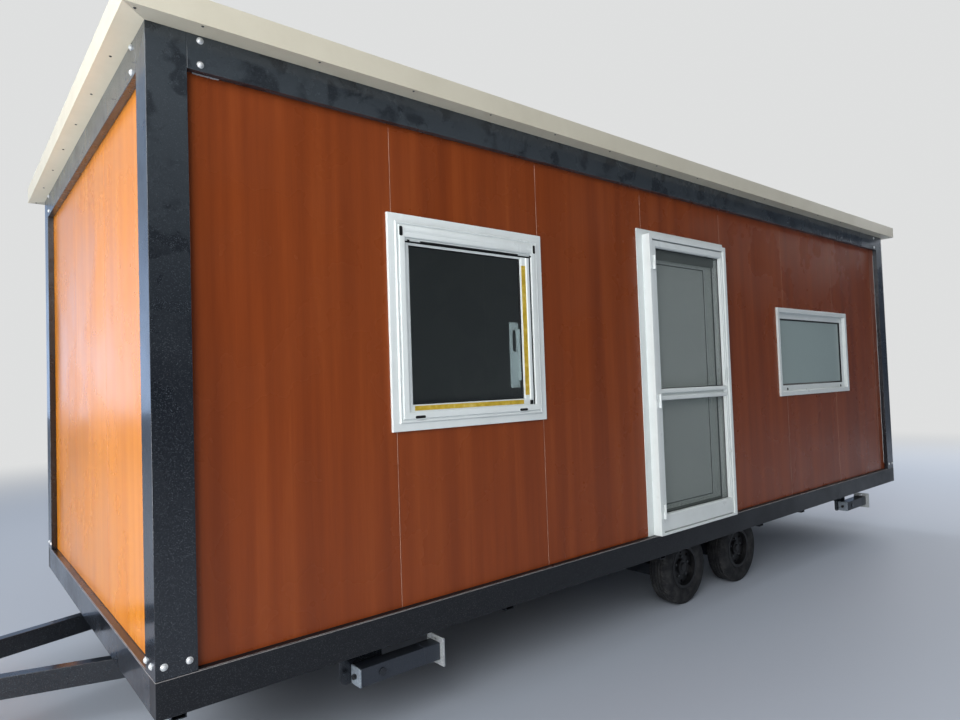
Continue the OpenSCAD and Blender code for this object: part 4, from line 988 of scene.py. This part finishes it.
def steadyLegs():
    look = legLook
    wall = look["tubeWall"]
    for place in wheelPlaces:
        body = "steady_" + place
        low, high = nodeBox("leg_" + place)
        footLow, footHigh = nodeBox("foot_" + place)
        centre = (low[1:] + high[1:]) / 2
        half = (high[1] - low[1]) / 2
        capEnd = low[0] + look["stub"] + look["capThick"]
        cap = squareTube(centre, (half + look["capProud"], look["corner"]),
                         (look["capHole"], look["capHole"]),
                         capEnd - look["capThick"] - look["capProud"], capEnd)
        makePiece("leg_cap_" + place, cap, capPaintedReflection, body, bevel=1.4)
        hexagon = prism(roundOutline(centre, look["hexRadius"], 6), low[0] - 1,
                        low[0] + look["stub"] - 1.5, 0)
        makePiece("leg_hexagon_" + place, hexagon, blackSteel, body, bevel=1.0)
        # sleeve round the slide, from the leg's end up to the foot plate at rest
        plateStart = footHigh[0] - look["footThick"]
        sleeve = squareTube(centre, (half, look["corner"]), (half - wall, look["inCorner"]),
                            high[0] - 0.5, plateStart - look["sleeveGap"])
        makePiece("leg_sleeve_" + place, sleeve, legPaintLit, body, bevel=1.2)
        across, up, radius = look["footHole"]
        hole = roundOutline(centre + (across, up), radius, 8, 0.5)
        plate = holedPlate(squareOutline(centre, (footHigh[1] - footLow[1]) / 2,
                                         look["footClip"], 2), hole, plateStart, footHigh[0], 0)
        inside = half - look["slidePlay"] - wall
        slide = squareTube(centre, (inside, look["slideCorner"]), (inside - wall, 2),
                           footLow[0], plateStart + 0.5)
        makePiece("foot_" + place + "_finish", joined([plate, slide]), legZinc,
                  "steady_foot_" + place, replaces=("foot_" + place,), bevel=0.8)


# Wheels: road tyre with four grooves and cross sipes on its shoulders, nuts, cap and valve
tyreLook = {"pitches": 72, "steps": 6, "grooves": (37.5, 12.5, -12.5, -37.5), "grooveHalf": 3,
            "grooveDepth": 7, "widest": 77.5, "bulge": 16, "bead": 151, "bore": 136,
            "shoulder": 259, "ridges": (0.2, 0.33, 0.8), "sipeDepth": 4.5, "nickDepth": 1.6,
            "crown": 1.5, "treadHalf": 50, "shoulderFrom": 41}


def tyreShape(centre, radius):
    # sidewall: half width = widest - bulge * |2 s - 0.95| ** 2.6 for s from bead to shoulder,
    # tread: r = radius - crown * (v / treadHalf) ** 2, less the grooves and the cross sipes
    look = tyreLook
    s = np.linspace(0, 1, 34)
    wall = look["widest"] - look["bulge"] * np.abs(2 * s - 0.95) ** 2.6
    wall += sum(0.9 * np.exp(-((s - ridge) / 0.018) ** 2) for ridge in look["ridges"]) - 0.9
    wallR = look["bead"] + (look["shoulder"] - look["bead"]) * s
    half, edge = look["treadHalf"], look["grooveHalf"]
    steps = np.array([[7, 0], [edge, 0], [edge - 0.8, look["grooveDepth"]],
                      [0.8 - edge, look["grooveDepth"]], [-edge, 0], [-7, 0]])
    tread = np.concatenate([[[half + 5, 0], [half, 0]],
                            *(steps + (groove, 0) for groove in look["grooves"]),
                            [[-half, 0], [-half - 5, 0]]])
    treadR = radius - look["crown"] * (tread[:, 0] / half) ** 2 - tread[:, 1]
    v = np.concatenate([[wall[0] - 2], wall, tread[:, 0], -wall[::-1], [2 - wall[0]]])
    r = np.concatenate([[look["bore"]], wallR, treadR, wallR[::-1], [look["bore"]]])
    shoulder = (np.abs(v) > look["shoulderFrom"]) & (r > look["shoulder"] - 16)
    middle = (np.abs(v) < look["shoulderFrom"]) & (r > radius - 2)
    count = look["pitches"] * look["steps"]
    phase = np.arange(count) % look["steps"]
    cut = np.where(phase >= look["steps"] - 2, look["sipeDepth"], 0.0)
    nick = np.where(phase == 2, look["nickDepth"], 0.0)
    turned = r[None] - cut[:, None] * shoulder[None] - nick[:, None] * middle[None]
    angle = (np.arange(count) * 2 * math.pi / count)[:, None]
    points = np.stack([centre[0] + turned * np.cos(angle),
                       np.broadcast_to(centre[1] + v, turned.shape),
                       centre[2] + turned * np.sin(angle)], -1)
    return points.reshape(-1, 3), gridFaces(count, len(v), True, True)


wheelLook = {"nuts": 5, "nutCircle": 74, "nutRadius": 9.5, "nutHeight": 13, "discOut": 31,
             "capOut": 49, "capRadius": 31, "ringRadius": 46, "valve": (121, 20, 54),
             "valveUp": 8, "valveRadius": 4}


def wheels():
    look = wheelLook
    nut, tall = look["nutRadius"], look["nutHeight"]
    cap, ring = look["capRadius"], look["ringRadius"]
    for place in wheelPlaces:
        body = "wheel_" + place
        low, high = nodeBox("tyre_" + place)
        centre = (low + high) / 2
        makePiece("tyre_" + place + "_tread", tyreShape(centre, (high[2] - low[2]) / 2),
                  tyreRubber, body, replaces=("tyre_" + place,), sharpAngle=40)
        out = -1 if place.endswith("near") else 1
        axle = (0, out, 0)
        x, y, z = centre
        nuts = [revolved([(0, tall), (nut - 2, tall), (nut, tall - 2), (nut, 0), (nut + 3, -1),
                          (0, -1)], (a, y + out * look["discOut"], b), axle, 6)
                for a, b in roundOutline((x, z), look["nutCircle"], look["nuts"], 0.25)]
        valveR, start, end = look["valve"]
        valve = tube([[x - valveR, y + out * reach, z + look["valveUp"]]
                      for reach in np.linspace(start, end, 4)], look["valveRadius"], 10)
        makePiece("wheel_nuts_" + place, joined(nuts + [valve]), darkZinc, body)
        hub = revolved([(0, 9), (cap - 6, 8), (cap, 3), (cap, 0.2), (ring, 0.2), (ring, 2),
                        (ring + 3, 2), (ring + 3, -0.5), (0, -0.5)],
                       (x, y + out * look["capOut"], z), axle, 48)
        makePiece("hub_cap_" + place, hub, blackSteel, body)


print("bolts, screws and strips")
cornerBolts()
roofScrews()
wallFoot()
panelJoints()
sealingStrips()
print("windows")
largeWindowDetails()
tapeStrips()
pullPlate()
smallWindowDetails()
print("doors")
innerDoorDetails()
liningDetails()
screenDoorDetails()
print("legs and wheels")
steadyLegs()
wheels()

# Light: a soft sky, lamps over the door side, high and low at the towing end, and behind.
# Glossy rays see the backdrop as in a room with windows along its far side: bright at eye level,
# dimmer above, and dimmer on the door side.
skyLook = {"light": "#f3f6fa", "strength": 0.4, "backdrop": "#e9eaea", "backdropStrength": 0.9,
           "mirrored": "#bfd5f6", "dimSide": 0.08, "dimFrom": -0.15, "dimTo": 0.2,
           "window": 1.6, "ceiling": 0.62, "windowFrom": 0.04, "windowTo": 0.26}
floorLook = {"colour": "#b3bbc7", "roughness": 0.6, "specular": 0.2, "reach": 60.0,
             "fadeFrom": 7.5, "fadeTo": 17.0}
# place, target, watts, diameter
lamps = {"frontLamp": ((-7.0, -5.5, 4.6), (-2.5, -1.4, 1.2), 440, 5.0),
         "endLamp": ((-15.0, 5.0, 9.0), (-3.0, 0.0, 1.5), 860, 7.0),
         "lowLamp": ((-8.2, -2.4, 0.6), (-3.0, -0.4, 2.7), 280, 2.0),
         "soffitLamp": ((-3.6, 0.0, 0.3), (-3.08, 0.0, 2.75), 50, 1.6),
         "backLamp": ((5.0, 8.5, 6.5), (0.0, 1.0, 1.4), 420, 6.0),
         "rearLamp": ((13.0, -1.0, 6.5), (4.0, 0.0, 1.4), 520, 6.0)}


def lamp(name, place, target, power, size):
    data = bpy.data.lights.new(name, "AREA")
    data.shape = "DISK"
    data.size = size
    data.energy = power
    made = addObject(name, data)
    made.location = place
    made.visible_camera = False
    aim = np.array(target, float) - np.array(place, float)
    made.rotation_euler = (math.atan2(math.hypot(aim[0], aim[1]), -aim[2]), 0,
                           math.atan2(aim[0], -aim[1]) + math.pi)
    return made


def sky():
    look = skyLook
    world = bpy.data.worlds.new("studioSky")
    bpy.context.scene.world = world
    add, place = startTree(world)
    ray = add("LightPath", {})
    light = add("Background", {"Color": linear(look["light"]), "Strength": look["strength"]})
    plain = add("Background", {"Color": linear(look["backdrop"]),
                               "Strength": look["backdropStrength"]})
    parts = add("SeparateXYZ", {"Vector": (place, "Generated")})
    side = add("MapRange", {0: (parts, "Y"), 1: look["dimFrom"], 2: look["dimTo"],
                            3: look["dimSide"], 4: 1.0})
    height = add("MapRange", {0: (parts, "Z"), 1: look["windowFrom"], 2: look["windowTo"],
                              3: look["window"], 4: look["ceiling"]})
    level = add("Math", {"operation": "MULTIPLY", 0: side, 1: height})
    mirrored = add("Background", {"Color": linear(look["mirrored"]), "Strength": level})
    seen = add("Math", {"operation": "MAXIMUM", 0: (ray, "Is Camera Ray"),
                        1: (ray, "Is Transmission Ray")})
    glossy = add("MixShader", {0: (ray, "Is Glossy Ray"), 1: light, 2: mirrored})
    add("OutputWorld", {"Surface": add("MixShader", {0: seen, 1: glossy, 2: plain})})


def studioFloor():
    # far floor fades into the backdrop: camera rays see it by smooth distance from the middle
    look = floorLook
    material, add, place = startMaterial("paleStudioFloor")
    shader = add("BsdfPrincipled", {"Base Color": linear(look["colour"]),
                                    "Roughness": look["roughness"],
                                    "Specular IOR Level": look["specular"]})
    distance = add("VectorMath", {"operation": "LENGTH", 0: place})
    far = add("MapRange", {"interpolation_type": "SMOOTHSTEP", 0: (distance, "Value"),
                           1: look["fadeFrom"], 2: look["fadeTo"]})
    share = add("Math", {"operation": "MULTIPLY", 0: far,
                         1: (add("LightPath", {}), "Is Camera Ray")})
    pale = add("Emission", {"Color": linear(skyLook["backdrop"]),
                            "Strength": skyLook["backdropStrength"]})
    add("OutputMaterial", {"Surface": add("MixShader", {0: share, 1: shader, 2: pale})})
    mesh = bpy.data.meshes.new("studioFloor")
    reach = look["reach"]
    mesh.from_pydata([(-reach, -reach, 0), (reach, -reach, 0), (reach, reach, 0),
                      (-reach, reach, 0)], [], [(0, 1, 2, 3)])
    mesh.materials.append(material)
    floor = addObject("studioFloor", mesh)
    return floor


def lightRoom():
    floor = studioFloor()
    made = {name: lamp(name, *values) for name, values in lamps.items()}
    # the low lamp stands near the floor, so it lights everything but the floor; the soffit lamp
    # stands in for a bright floor at the towing end, so it lights the roof's end only
    for name, target, state in (("lowLamp", floor, "EXCLUDE"),
                                ("soffitLamp", bpy.data.objects["roof_fascia_ends_finish"],
                                 "INCLUDE")):
        receivers = bpy.data.collections.new(name + "Receivers")
        receivers.objects.link(target)
        made[name].light_linking.receiver_collection = receivers
        receivers.collection_objects[0].light_linking.link_state = state


# the viewing place and angles, in cabin millimetres and radians
cameraLook = {"place": (-609.3, -2645.2, 1190.3), "pitch": 0.0348, "roll": -0.0343, "yaw": 0.6918,
              "lens": 24.66, "sensor": 36, "clip": 300}


def photoCamera():
    # turn = right, up and backward columns: up = right cross forward, then both rolled
    look = cameraLook
    data = bpy.data.cameras.new("photoCamera")
    data.sensor_width = look["sensor"]
    data.lens = look["lens"]
    data.clip_end = look["clip"]
    camera = addObject("photoCamera", data)
    yaw, pitch, roll = look["yaw"], look["pitch"], look["roll"]
    forward = np.array([math.sin(yaw) * math.cos(pitch), math.cos(yaw) * math.cos(pitch),
                        math.sin(pitch)])
    right = np.array([math.cos(yaw), -math.sin(yaw), 0])
    up = np.cross(right, forward)
    turn = np.eye(4)
    turn[:3, 0] = right * math.cos(roll) + up * math.sin(roll)
    turn[:3, 1] = up * math.cos(roll) - right * math.sin(roll)
    turn[:3, 2] = -forward
    turn[:3, 3] = toFrame(look["place"])
    camera.matrix_world = mathutils.Matrix(turn.tolist())
    bpy.context.scene.camera = camera


print("light and camera")
sky()
lightRoom()
photoCamera()
bpy.context.scene.view_settings.view_transform = "Standard"
